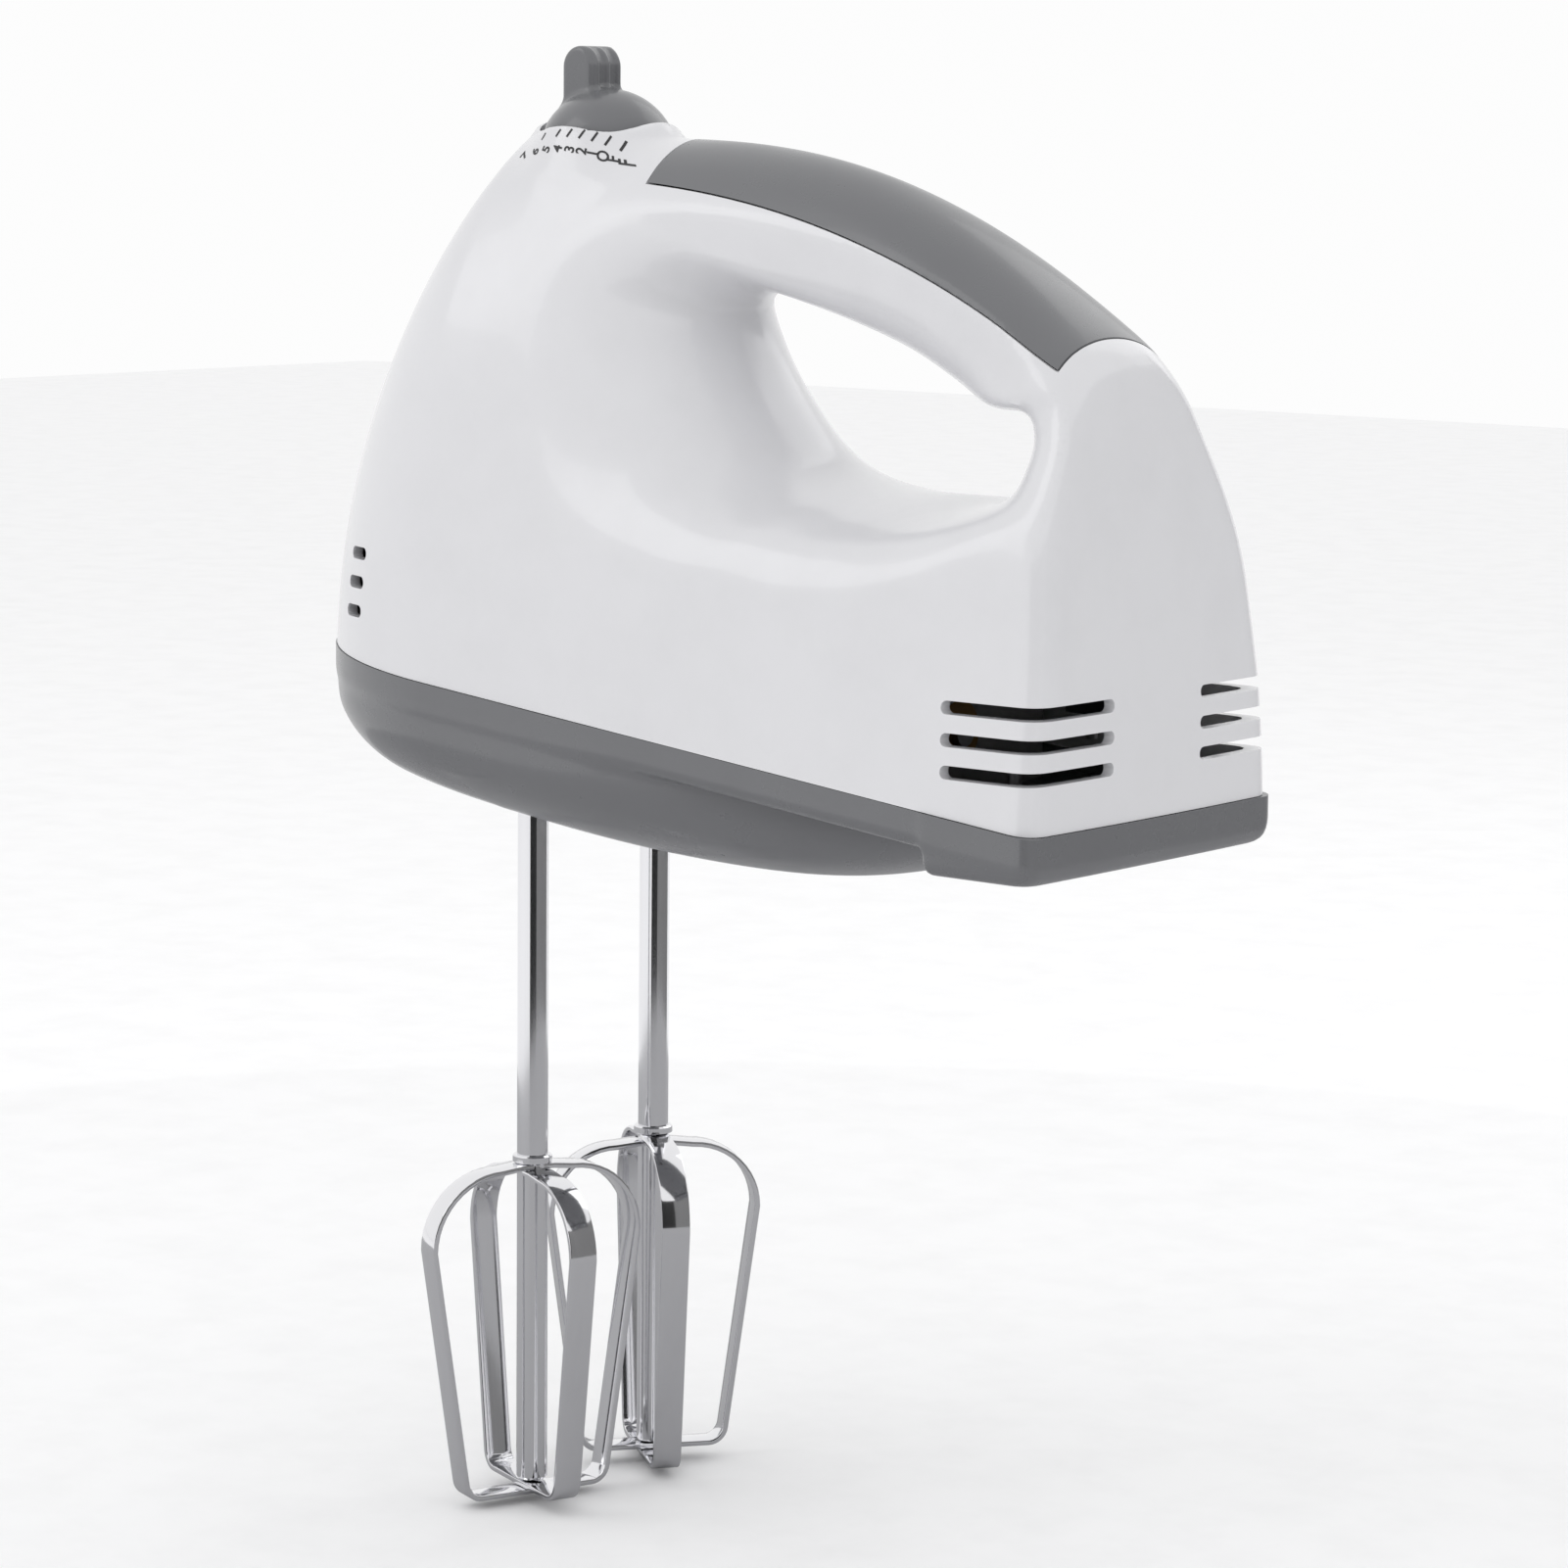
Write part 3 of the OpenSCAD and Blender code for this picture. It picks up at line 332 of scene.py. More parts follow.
def skin(name, field, low, high, step):
    """Closed mesh over a field's zero level: one point a cell, slid onto the surface."""
    axes = [np.arange(low[k], high[k] + step, step) for k in range(3)]
    v = field(*np.meshgrid(*axes, indexing="ij"))
    inside = v < 0
    cells = tuple(n - 1 for n in v.shape)
    total = np.zeros(cells + (3,))
    count = np.zeros(cells)
    crossings = []
    for axis in range(3):
        others = [k for k in range(3) if k != axis]
        first = [slice(None)] * 3
        second = [slice(None)] * 3
        first[axis], second[axis] = slice(0, -1), slice(1, None)
        for k in others:
            first[k] = second[k] = slice(1, -1)
        va, vb = v[tuple(first)], v[tuple(second)]
        at = np.argwhere((va < 0) != (vb < 0))
        a, b = va[tuple(at.T)], vb[tuple(at.T)]
        at[:, others] += 1
        place = at.astype(float)
        place[:, axis] += a / (a - b)
        ring = []
        for du, dv in ((-1, -1), (0, -1), (0, 0), (-1, 0)):
            cell = at.copy()
            cell[:, others[0]] += du
            cell[:, others[1]] += dv
            np.add.at(total, tuple(cell.T), place)
            np.add.at(count, tuple(cell.T), 1)
            ring.append(cell)
        flip = (a < 0) == (axis == 1)
        crossings.append((ring, flip))
    used = count > 0
    number = -np.ones(cells, int)
    number[used] = np.arange(used.sum())
    p = np.array(low) + total[used] / count[used][:, None] * step
    faces = []
    for ring, flip in crossings:
        ids = np.stack([number[tuple(c.T)] for c in ring], 1)
        ids[flip] = ids[flip][:, ::-1]
        faces.append(ids)
    quads = np.concatenate(faces)
    p = settle(p, quads, field, step)
    mesh = bpy.data.meshes.new(name)
    mesh.from_pydata((p * MM).tolist(), [], quads.tolist())
    mesh.validate()
    piece = bpy.data.objects.new(name, mesh)
    bpy.context.scene.collection.objects.link(piece)
    return piece


def slope(field, p, f0, h=0.02):
    """Gradient of a field at some points, from steps of h."""
    return np.stack([(field(*(p + h * np.eye(3)[k]).T) - f0) / h for k in range(3)], 1)


def settle(p, quads, field, step, rounds=4):
    """Evens out the points along the surface and puts each one back on it."""
    for turn in range(rounds):
        if turn < rounds - 1:
            middle = p[quads].mean(1)
            total = np.zeros_like(p)
            count = np.zeros(len(p))
            for k in range(4):
                np.add.at(total, quads[:, k], middle)
                np.add.at(count, quads[:, k], 1)
            p = p * 0.4 + total / np.maximum(count, 1)[:, None] * 0.6
        for _ in range(2):
            f0 = field(*p.T)
            g = slope(field, p, f0)
            size = np.maximum((g * g).sum(1), 0.05)
            move = -g * (f0 / size)[:, None]
            length = np.linalg.norm(move, axis=1)
            move *= np.minimum(1, step / np.maximum(length, 1e-9))[:, None]
            p = p + move
    return p


# ---------------------------------------------------------------- mesh helpers

def only(*objects):
    """Deselects everything, then selects these and makes the last one active."""
    bpy.ops.object.select_all(action="DESELECT")
    for o in objects:
        o.select_set(True)
    bpy.context.view_layer.objects.active = objects[-1]


def carve(piece, tools, how="DIFFERENCE"):
    """Cuts a piece with tools, and takes the tools away."""
    for tool in tools:
        only(piece)
        mod = piece.modifiers.new("cut", "BOOLEAN")
        mod.operation = how
        mod.solver = "EXACT"
        mod.object = tool
        bpy.ops.object.modifier_apply(modifier=mod.name)
    drop(tools)


def drop(objects):
    """Takes objects out of the file."""
    for o in objects:
        bpy.data.objects.remove(o)


def bake_place(piece):
    """Moves an object's place, turn and size into its mesh."""
    only(piece)
    bpy.ops.object.transform_apply(location=True, rotation=True, scale=True)


def joined_up(objects):
    """One object from several."""
    only(*objects)
    bpy.ops.object.join()
    return bpy.context.view_layer.objects.active


def block(name, low, high):
    """Box between two corners, in millimetres."""
    size = [(b - a) * MM for a, b in zip(low, high)]
    middle = [(a + b) / 2 * MM for a, b in zip(low, high)]
    bpy.ops.mesh.primitive_cube_add(size=1, location=middle)
    o = bpy.context.object
    o.name = name
    o.scale = size
    bake_place(o)
    return o


def pin(name, centre, radius, length, axis="Z", sides=48):
    """Cylinder about its middle, in millimetres."""
    turn = {"X": (0, math.pi / 2, 0), "Y": (math.pi / 2, 0, 0), "Z": (0, 0, 0)}[axis]
    bpy.ops.mesh.primitive_cylinder_add(
        vertices=sides, radius=radius * MM, depth=length * MM,
        location=[c * MM for c in centre], rotation=turn)
    o = bpy.context.object
    o.name = name
    bake_place(o)
    return o


def from_bmesh(name, bm):
    """Object from a bmesh, which is freed."""
    mesh = bpy.data.meshes.new(name)
    bm.to_mesh(mesh)
    bm.free()
    o = bpy.data.objects.new(name, mesh)
    bpy.context.scene.collection.objects.link(o)
    return o


def prism(name, outline, low, high):
    """Outline of X and Z extruded along Y between two places, in millimetres."""
    bm = bmesh.new()
    ends = []
    for at in (low, high):
        ends.append([bm.verts.new((x * MM, at * MM, z * MM)) for x, z in outline])
    n = len(outline)
    bm.faces.new(ends[0])
    bm.faces.new(ends[1])
    for i in range(n):
        j = (i + 1) % n
        bm.faces.new((ends[0][i], ends[0][j], ends[1][j], ends[1][i]))
    bmesh.ops.recalc_face_normals(bm, faces=bm.faces)
    return from_bmesh(name, bm)


def smooth(piece, degrees):
    """Smooth shading with crisp edges above an angle."""
    only(piece)
    bpy.ops.object.shade_smooth_by_angle(angle=math.radians(degrees))


def finish_piece(piece, body, nodes, material):
    """Gives a piece its material and body, and hides the nodes it stands for."""
    piece.data.materials.clear()
    piece.data.materials.append(material)
    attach(piece, body)
    if nodes:
        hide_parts(*nodes)


# ---------------------------------------------------------------- materials

def group_socket(group, name, kind, out=False, default=None):
    s = group.interface.new_socket(
        name=name, in_out="OUTPUT" if out else "INPUT", socket_type=kind)
    if default is not None:
        s.default_value = default
    return s


def surface_group():
    """Shared group: fine grain, soft smudges and edge wear for one finish."""
    name = "moulded_surface"
    if name in bpy.data.node_groups:
        return bpy.data.node_groups[name]
    g = bpy.data.node_groups.new(name, "ShaderNodeTree")
    group_socket(g, "Grain Scale", "NodeSocketFloat", default=900.0)
    group_socket(g, "Grain Amount", "NodeSocketFloat", default=0.02)
    group_socket(g, "Wave Scale", "NodeSocketFloat", default=18.0)
    group_socket(g, "Wave Amount", "NodeSocketFloat", default=0.25)
    group_socket(g, "Roughness", "NodeSocketFloat", default=0.25)
    group_socket(g, "Smudge", "NodeSocketFloat", default=0.06)
    group_socket(g, "Height", "NodeSocketFloat", out=True)
    group_socket(g, "Roughness", "NodeSocketFloat", out=True)
    group_socket(g, "Smudges", "NodeSocketFloat", out=True)
    group_socket(g, "Edges", "NodeSocketFloat", out=True)
    n, link = g.nodes, g.links.new
    enter, leave = n.new("NodeGroupInput"), n.new("NodeGroupOutput")
    place = n.new("ShaderNodeTexCoord")
    grain, wave, smudge = (n.new("ShaderNodeTexNoise") for _ in range(3))
    for node in (grain, wave, smudge):
        link(place.outputs["Object"], node.inputs["Vector"])
    link(enter.outputs["Grain Scale"], grain.inputs["Scale"])
    link(enter.outputs["Wave Scale"], wave.inputs["Scale"])
    grain.inputs["Detail"].default_value = 3
    wave.inputs["Detail"].default_value = 1
    smudge.inputs["Scale"].default_value = 45
    smudge.inputs["Detail"].default_value = 6
    smudge.inputs["Roughness"].default_value = 0.62
    fine = math_node(g, "MULTIPLY", grain.outputs["Fac"], enter.outputs["Grain Amount"])
    broad = math_node(g, "MULTIPLY", wave.outputs["Fac"], enter.outputs["Wave Amount"])
    link(math_node(g, "ADD", fine, broad), leave.inputs["Height"])
    spots = n.new("ShaderNodeMapRange")
    spots.inputs["From Min"].default_value = 0.42
    spots.inputs["From Max"].default_value = 0.72
    link(smudge.outputs["Fac"], spots.inputs["Value"])
    dull = math_node(g, "MULTIPLY", spots.outputs["Result"], enter.outputs["Smudge"])
    link(math_node(g, "ADD", dull, enter.outputs["Roughness"]), leave.inputs["Roughness"])
    link(spots.outputs["Result"], leave.inputs["Smudges"])
    shape = n.new("ShaderNodeNewGeometry")
    edge = n.new("ShaderNodeMapRange")
    edge.inputs["From Min"].default_value = 0.53
    edge.inputs["From Max"].default_value = 0.62
    link(shape.outputs["Pointiness"], edge.inputs["Value"])
    worn = math_node(g, "MULTIPLY", edge.outputs["Result"], smudge.outputs["Fac"])
    link(worn, leave.inputs["Edges"])
    return g


def math_node(tree, how, a, b):
    """Math node on two sockets or numbers; gives its output."""
    node = tree.nodes.new("ShaderNodeMath")
    node.operation = how
    for k, v in enumerate((a, b)):
        if isinstance(v, (int, float)):
            node.inputs[k].default_value = v
        else:
            tree.links.new(v, node.inputs[k])
    return node.outputs[0]


def mixed(tree, mask, amount, a, b):
    """Colour a turning into colour b by a share of the mask."""
    node = tree.nodes.new("ShaderNodeMix")
    node.data_type = "RGBA"
    tree.links.new(math_node(tree, "MULTIPLY", mask, amount), node.inputs["Factor"])
    for key, c in (("A", a), ("B", b)):
        socket = [i for i in node.inputs if i.name == key and i.type == "RGBA"][0]
        if isinstance(c, bpy.types.NodeSocket):
            tree.links.new(c, socket)
        else:
            socket.default_value = (*c, 1)
    return [o for o in node.outputs if o.type == "RGBA"][0]


def finish(name, colour, rough=0.25, smudge=0.06, grain=(900, 0.02), wave=(18, 0.25),
           bump=0.02, metal=0.0, coat=0.0, coat_rough=0.05):
    """Procedural material: colour variation, smudges, edge wear, roughness and bump."""
    m = bpy.data.materials.new(name)
    m.use_nodes = True
    t = m.node_tree
    shader = t.nodes["Principled BSDF"]
    g = t.nodes.new("ShaderNodeGroup")
    g.node_tree = surface_group()
    for key, v in (("Grain Scale", grain[0]), ("Grain Amount", grain[1]),
                   ("Wave Scale", wave[0]), ("Wave Amount", wave[1]),
                   ("Roughness", rough), ("Smudge", smudge)):
        g.inputs[key].default_value = v
    worn = tuple(min(1, c * 1.25 + 0.02) for c in colour)
    dusty = tuple(c * 0.93 for c in colour)
    tone = mixed(t, g.outputs["Smudges"], 0.5, colour, dusty)
    tone = mixed(t, g.outputs["Edges"], 0.6, tone, worn)
    t.links.new(tone, shader.inputs["Base Color"])
    t.links.new(g.outputs["Roughness"], shader.inputs["Roughness"])
    b = t.nodes.new("ShaderNodeBump")
    b.inputs["Strength"].default_value = 1.0
    b.inputs["Distance"].default_value = bump * MM
    t.links.new(g.outputs["Height"], b.inputs["Height"])
    t.links.new(b.outputs["Normal"], shader.inputs["Normal"])
    shader.inputs["Metallic"].default_value = metal
    shader.inputs["Coat Weight"].default_value = coat
    shader.inputs["Coat Roughness"].default_value = coat_rough
    return m


def material(name):
    """One of the mixer's finishes, made when it is first asked for."""
    if name in bpy.data.materials:
        return bpy.data.materials[name]
    f = bpy.context.scene.mixer_finish
    recipes = {
        "shell_white": dict(colour=tuple(f.shell), rough=0.2, smudge=0.05, coat=0.3, wave=(14, 0.5)),
        "trim_grey": dict(colour=tuple(f.trim), rough=0.27, smudge=0.08, coat=0.25, wave=(25, 0.5)),
        "beater_chrome": dict(colour=tuple(f.chrome), rough=0.07, smudge=0.05, metal=1.0,
                              grain=(2500, 0.2)),
        "scale_ink": dict(colour=tuple(f.ink), rough=0.4, smudge=0.1),
        "bright_steel": dict(colour=(0.55, 0.55, 0.57), rough=0.28, smudge=0.15, metal=1.0,
                             grain=(1800, 0.3)),
        "white_nylon": dict(colour=(0.72, 0.72, 0.69), rough=0.45, smudge=0.1, grain=(700, 0.4)),
        "gear_nylon": dict(colour=(0.72, 0.66, 0.48), rough=0.4, smudge=0.15, grain=(700, 0.4)),
        "black_plastic": dict(colour=(0.03, 0.03, 0.033), rough=0.45, smudge=0.15, grain=(700, 0.4)),
        "contact_brass": dict(colour=(0.62, 0.45, 0.17), rough=0.3, smudge=0.2, metal=1.0),
        "phenolic": dict(colour=(0.22, 0.09, 0.04), rough=0.5, smudge=0.1, grain=(500, 0.6)),
        "laminated_iron": dict(colour=(0.3, 0.31, 0.33), rough=0.45, smudge=0.2, metal=1.0,
                               grain=(400, 0.8)),
        "enamelled_copper": dict(colour=(0.5, 0.17, 0.06), rough=0.3, smudge=0.1, metal=0.9,
                                 grain=(1500, 0.8)),
        "cast_zinc": dict(colour=(0.5, 0.5, 0.5), rough=0.5, smudge=0.15, metal=1.0,
                          grain=(600, 1.0)),
        "bearing_bronze": dict(colour=(0.45, 0.28, 0.11), rough=0.4, smudge=0.15, metal=1.0),
        "capacitor_yellow": dict(colour=(0.6, 0.38, 0.03), rough=0.35, smudge=0.1),
        "cord_rubber": dict(colour=(0.03, 0.03, 0.03), rough=0.6, smudge=0.1, grain=(500, 0.8)),
        "lead_red": dict(colour=(0.4, 0.015, 0.01), rough=0.4, smudge=0.1),
    }
    return finish(name, **recipes[name])


# ---------------------------------------------------------------- pieces

def seam_block(above, side):
    """Big box above or below the sloping seam plane; side is a small gap from it."""
    far = 300 if above else -300
    line = [(-200, seam_z(-200) + side), (200, seam_z(200) + side),
            (200, FOOT + far), (-200, FOOT + far)]
    return prism("seam_block", line, -100, 100)


def cover_block(s, grow):
    """Region of the grip cover, from its side line to above the crest."""
    front, rear = COVER_FRONT - grow, COVER_REAR + grow
    xs = np.linspace(front, rear, 25)
    t = np.linspace(0, 1, 25)
    depths = s.cover_front * (1 - t) + s.cover_side * t + COVER_SAG * t * (1 - t)
    line = [(x, top_z(x, s.crest_drop) - deep - grow) for x, deep in zip(xs, depths)]
    line += [(rear, CREST + 20), (front, CREST + 20)]
    return prism("cover_block", line, -40, 40)


# Grip cover's ends and the bow of its side line; cooling slots at the heel and near the nose
COVER_FRONT = SHAFT_X + 25.4
COVER_REAR = HEEL - 11.7
COVER_SAG = 11
SLOT_PITCH = 5.6
SLOT_HALF = 1.2
SLOT_TOP = FOOT + 30
SLOT_SIDE = HEEL - 21
SLOT_REAR = 13.4
NOSE_SLOT_TOP = FOOT + 47.1
NOSE_SLOT_X = SHAFT_X - 32
NOSE_SLOT_HALF = 3.2


def slot_cutter(low, high, along):
    """Box with its ends rounded to half its height; along lists the axes its ends lie across."""
    o = block("slot", low, high)
    bm = bmesh.new()
    bm.from_mesh(o.data)
    ends = []
    for edge in bm.edges:
        d = edge.verts[1].co - edge.verts[0].co
        middle = (edge.verts[0].co + edge.verts[1].co) / 2 / MM
        for runs, across, at in along:
            if abs(d[runs]) > 0.9 * d.length and abs(middle[across] - at) < 0.01:
                ends.append(edge)
    half = (high[2] - low[2]) / 2 * MM
    bmesh.ops.bevel(bm, geom=ends, offset=half * 0.96, segments=6, profile=0.5, affect="EDGES")
    bm.to_mesh(o.data)
    bm.free()
    return o


def vent_cutters():
    """Slots round both rear corners, and three short ones on each flank near the nose."""
    tools = []
    for k in range(3):
        z = SLOT_TOP - k * SLOT_PITCH
        nose_z = NOSE_SLOT_TOP - k * SLOT_PITCH
        x0 = SLOT_SIDE + k * 0.4
        nose_x0 = NOSE_SLOT_X - k * 0.7 - NOSE_SLOT_HALF
        nose_x1 = NOSE_SLOT_X - k * 0.7 + NOSE_SLOT_HALF
        for hand in (-1, 1):
            y0, y1 = sorted((hand * SLOT_REAR, hand * 60))
            tools.append(slot_cutter((x0, y0, z - SLOT_HALF), (120, y1, z + SLOT_HALF),
                                     [(1, 0, x0), (0, 1, hand * SLOT_REAR)]))
            y0, y1 = sorted((hand * 22, hand * 50))
            tools.append(slot_cutter(
                (nose_x0, y0, nose_z - SLOT_HALF), (nose_x1, y1, nose_z + SLOT_HALF),
                [(1, 0, nose_x0), (1, 0, nose_x1)]))
    return joined_up(tools)


CORD_HOLE = (HEEL - 20, 40, FOOT + 44)
CORD_HOLE_R = 5.8
SCREWS = [(SHAFT_X - 25.55, -20), (SHAFT_X - 25.55, 20), (HEEL - 16, -21), (HEEL - 16, 21)]
SCREW_WELL_R = 3.4
BODY_LOW = (-104.0, -44.0, FOOT + 2)
BODY_HIGH = (102.0, 44.0, CREST + 4)


def body_solid(s, grow, step):
    """The closed body, its skin moved out by grow."""
    def field(x, y, z):
        return joined(body_field(x, y, z, s) - grow, FOOT + 4 - z, 1)
    return skin("body", field, BODY_LOW, BODY_HIGH, step)


class MIXER_OT_housing(bpy.types.Operator):
    """Upper housing and grip cover: one skin, cut at the cover's joint, hollowed and slotted"""

    bl_idname = "mixer.housing"
    bl_label = "Housing and grip cover"

    def execute(self, context):
        s = context.scene.mixer_shape
        step = 1.15
        housing = body_solid(s, 0, step)
        housing.name = "housing"
        cover = housing.copy()
        cover.data = housing.data.copy()
        cover.name = "grip_cover"
        context.scene.collection.objects.link(cover)
        hollow = body_solid(s, -s.wall, 3.0)
        hollow_copy = hollow.copy()
        hollow_copy.data = hollow.data.copy()
        context.scene.collection.objects.link(hollow_copy)
        carve(cover, [cover_block(s, 0)], "INTERSECT")
        carve(cover, [hollow_copy])
        dial_hole = pin("dial_hole", (DIAL_X, 0, DIAL_Z + 3), s.dial_radius + 0.5, 24, sides=96)
        cord_hole = pin("cord_hole", CORD_HOLE, CORD_HOLE_R, 24, "Y")
        carve(housing, [hollow, cover_block(s, s.joint_gap), seam_block(False, 0),
                        dial_hole, cord_hole, vent_cutters()])
        for piece in (housing, cover):
            smooth(piece, 35)
        finish_piece(housing, "root", ["upper_housing"], material("shell_white"))
        finish_piece(cover, "root", ["handle_cover"], material("trim_grey"))
        return {"FINISHED"}


class MIXER_OT_base(bpy.types.Operator):
    """Bottom cover: belly, ledge and heel foot, hollowed, with two sockets for the beaters"""

    bl_idname = "mixer.base"
    bl_label = "Bottom cover"

    def execute(self, context):
        s = context.scene.mixer_shape
        step = 0.95
        low, high = (-102, -44, FOOT - 12), (102, 44, FOOT + 40)

        def field(x, y, z):
            return joined(base_field(x, y, z, s), z - FOOT - 36, 1)

        base = skin("base", field, low, high, step)
        hollow = skin("base_hollow", lambda x, y, z: field(x, y, z) + s.wall, low, high, 2.5)
        tools = [seam_block(True, -0.12), hollow]
        for hand in (-1, 1):
            socket_at = (SHAFT_X, hand * SHAFT_Y, FOOT)
            tools.append(pin("socket", socket_at, s.shaft_radius + 1, 40, sides=64))
        for x, y in SCREWS:
            tools.append(pin("screw_well", (x, y, FOOT - 3), SCREW_WELL_R, 15))
        carve(base, tools)
        smooth(base, 35)
        finish_piece(base, "root", ["bottom_cover"], material("trim_grey"))
        return {"FINISHED"}


class MIXER_OT_dial(bpy.types.Operator):
    """Speed dial: domed cap and ribbed thumb fin in one moulding"""

    bl_idname = "mixer.dial"
    bl_label = "Speed dial"

    def execute(self, context):
        s = context.scene.mixer_shape
        step = 0.36
        low, high = (-14, -14, -6.5), (14, 14, 21)
        dial = skin("dial", lambda x, y, z: dial_field(x, y, z, s), low, high, step)
        dial.data.transform(Matrix.Translation((DIAL_X * MM, 0, DIAL_Z * MM)))
        carve(dial, [pin("dial_hollow", (DIAL_X, 0, DIAL_Z - 4), s.dial_radius - 2, 9, sides=64),
                     pin("dial_bore", (DIAL_X, 0, DIAL_Z), 3, 8.02, sides=48)])
        smooth(dial, 40)
        finish_piece(dial, "dial", ["speed_dial"], material("trim_grey"))
        return {"FINISHED"}


# Printed scale: turns in degrees about the dial's axis, heights in millimetres above its rim.
# Both rows of marks climb to a crown beside the dial and fall away evenly to either side.
TICK_COUNT = 7
TICK_FIRST = -35.5
TICK_STEP = 10.8
TICK_LAST_GAP = 6.8
TICK_CROWN = 3.0
TICK_CROWN_TURN = -80
TICK_LEAN = 5.3
TICK_LONG = 1.8
TICK_WIDE = 0.5
LETTER_FIRST = -51.7
LETTER_STEP = 6.7
DIGIT_FIRST = -59.0
DIGIT_STEP = 8.0
DIGIT_SPREAD = 0.42
LABEL_CROWN = -0.85
LABEL_CROWN_TURN = -86
ROW_FALL = 0.0011
SCALE_R = 15.5
INK_LIFT = 0.05
CAP_HIGH = 2.2
FONT_CAP = 0.73


def tick_ends(k):
    """Turn and height of both ends of a tick; the last stands a longer step away."""
    turn = TICK_FIRST - TICK_STEP * k - TICK_LAST_GAP * (k == TICK_COUNT - 1)
    z = DIAL_Z + TICK_CROWN - ROW_FALL * (turn - TICK_CROWN_TURN) ** 2
    return turn, z, turn - TICK_LEAN + 0.5 * k, z - TICK_LONG + 0.08 * k


def label_places():
    """Each character with its turn and height: OFF, then the speeds, ever further apart."""
    turns = [LETTER_FIRST + LETTER_STEP * k for k in range(3)]
    turns += [DIGIT_FIRST - DIGIT_STEP * k - DIGIT_SPREAD * k * k for k in range(7)]
    return [(text, turn, DIAL_Z + LABEL_CROWN - ROW_FALL * (turn - LABEL_CROWN_TURN) ** 2)
            for text, turn in zip("OFF1234567", turns)]


class MIXER_OT_scale(bpy.types.Operator):
    """Printed scale on the flank below the dial: ticks, OFF and the speeds 1 to 7"""

    bl_idname = "mixer.scale"
    bl_label = "Printed scale"

    def execute(self, context):
        dg = context.evaluated_depsgraph_get()
        self.skin = BVHTree.FromObject(bpy.data.objects["housing"], dg)
        marks = [self.tick(*tick_ends(k)) for k in range(TICK_COUNT)]
        marks += [self.label(*place) for place in label_places()]
        print_piece = joined_up(marks)
        print_piece.name = "speed_scale"
        finish_piece(print_piece, "root", [], material("scale_ink"))
        return {"FINISHED"}

    def laid(self, turn, z):
        """Point just off the housing, seen from the dial's axis at a turn and a height."""
        a = math.radians(turn)
        out = Vector((math.cos(a), math.sin(a), 0))
        axis = Vector((DIAL_X, 0, z)) * MM
        place, normal = self.skin.ray_cast(axis + out * 24 * MM, -out, 12 * MM)[:2]
        if place is None:
            place, normal = self.skin.find_nearest(axis + out * (SCALE_R - 1.3) * MM)[:2]
        return place + normal * INK_LIFT * MM

    def tick(self, turn0, z0, turn1, z1):
        """Narrow band between two places, laid on the housing."""
        bm = bmesh.new()
        rows = []
        step = Vector((math.radians(turn1 - turn0) * SCALE_R, z1 - z0))
        side = Vector((-step.y, step.x)).normalized() * TICK_WIDE / 2
        for k in range(9):
            t = k / 8
            turn, z = turn0 + (turn1 - turn0) * t, z0 + (z1 - z0) * t
            around = math.degrees(side.x / SCALE_R)
            rows.append([bm.verts.new(self.laid(turn + sign * around, z + sign * side.y))
                         for sign in (-1, 1)])
        for a, b in zip(rows, rows[1:]):
            bm.faces.new((a[0], a[1], b[1], b[0]))
        return self.decal("tick", bm)

    def label(self, text, turn, z):
        """One character, its top toward the nose and its right side up the flank."""
        bpy.ops.object.text_add()
        o = bpy.context.object
        o.data.body = text
        o.data.size = CAP_HIGH / FONT_CAP
        o.data.offset = 0.07
        o.data.shear = 0.2
        o.data.align_x, o.data.align_y = "CENTER", "CENTER"
        bpy.ops.object.convert(target="MESH")
        bm = bmesh.new()
        bm.from_mesh(o.data)
        drop([o])
        bmesh.ops.triangulate(bm, faces=bm.faces)
        bmesh.ops.subdivide_edges(bm, edges=bm.edges, cuts=1)
        bmesh.ops.triangulate(bm, faces=bm.faces)
        for v in bm.verts:
            v.co = self.laid(turn - math.degrees(v.co.y / SCALE_R), z + 0.85 * v.co.x)
        return self.decal("label", bm)

    def decal(self, name, bm):
        """Piece from a mesh laid on the housing, facing away from the dial's axis."""
        bm.normal_update()
        for face in bm.faces:
            out = face.calc_center_median() - Vector((DIAL_X, 0, DIAL_Z - 20)) * MM
            if face.normal.dot(out) < 0:
                face.normal_flip()
        return from_bmesh(name, bm)


def spun(name, profile, centre, sides=64):
    """Profile of radius and height pairs turned about Z, in millimetres."""
    bpy.ops.object.select_all(action="DESELECT")
    bpy.ops.mesh.primitive_circle_add(vertices=sides, radius=profile[0][0] * MM, fill_type="NGON",
                                      location=(centre[0] * MM, centre[1] * MM, profile[0][1] * MM))
    o = bpy.context.object
    o.name = name
    bake_place(o)
    bpy.ops.object.mode_set(mode="EDIT")
    bpy.ops.mesh.select_all(action="SELECT")
    centre_m = Vector((centre[0] * MM, centre[1] * MM, 0))
    for (r0, z0), (r1, z1) in zip(profile, profile[1:]):
        bpy.ops.mesh.extrude_region_move(TRANSFORM_OT_translate={"value": (0, 0, (z1 - z0) * MM)})
        k = r1 / r0
        bpy.ops.transform.resize(value=(k, k, 1), center_override=centre_m + Vector((0, 0, z1 * MM)))
    bpy.ops.mesh.select_all(action="SELECT")
    bpy.ops.mesh.normals_make_consistent(inside=False)
    bpy.ops.object.mode_set(mode="OBJECT")
    return o


# Beaters: a loop's outer radius and lowest point, the angles of the strips, the clip's groove
LOOP_R_OUT = 22.8
LOOP_LOW = 1.2
LEFT_TURN = 69.5
RIGHT_TURN = -37.5
GROOVE_Z = 165.6


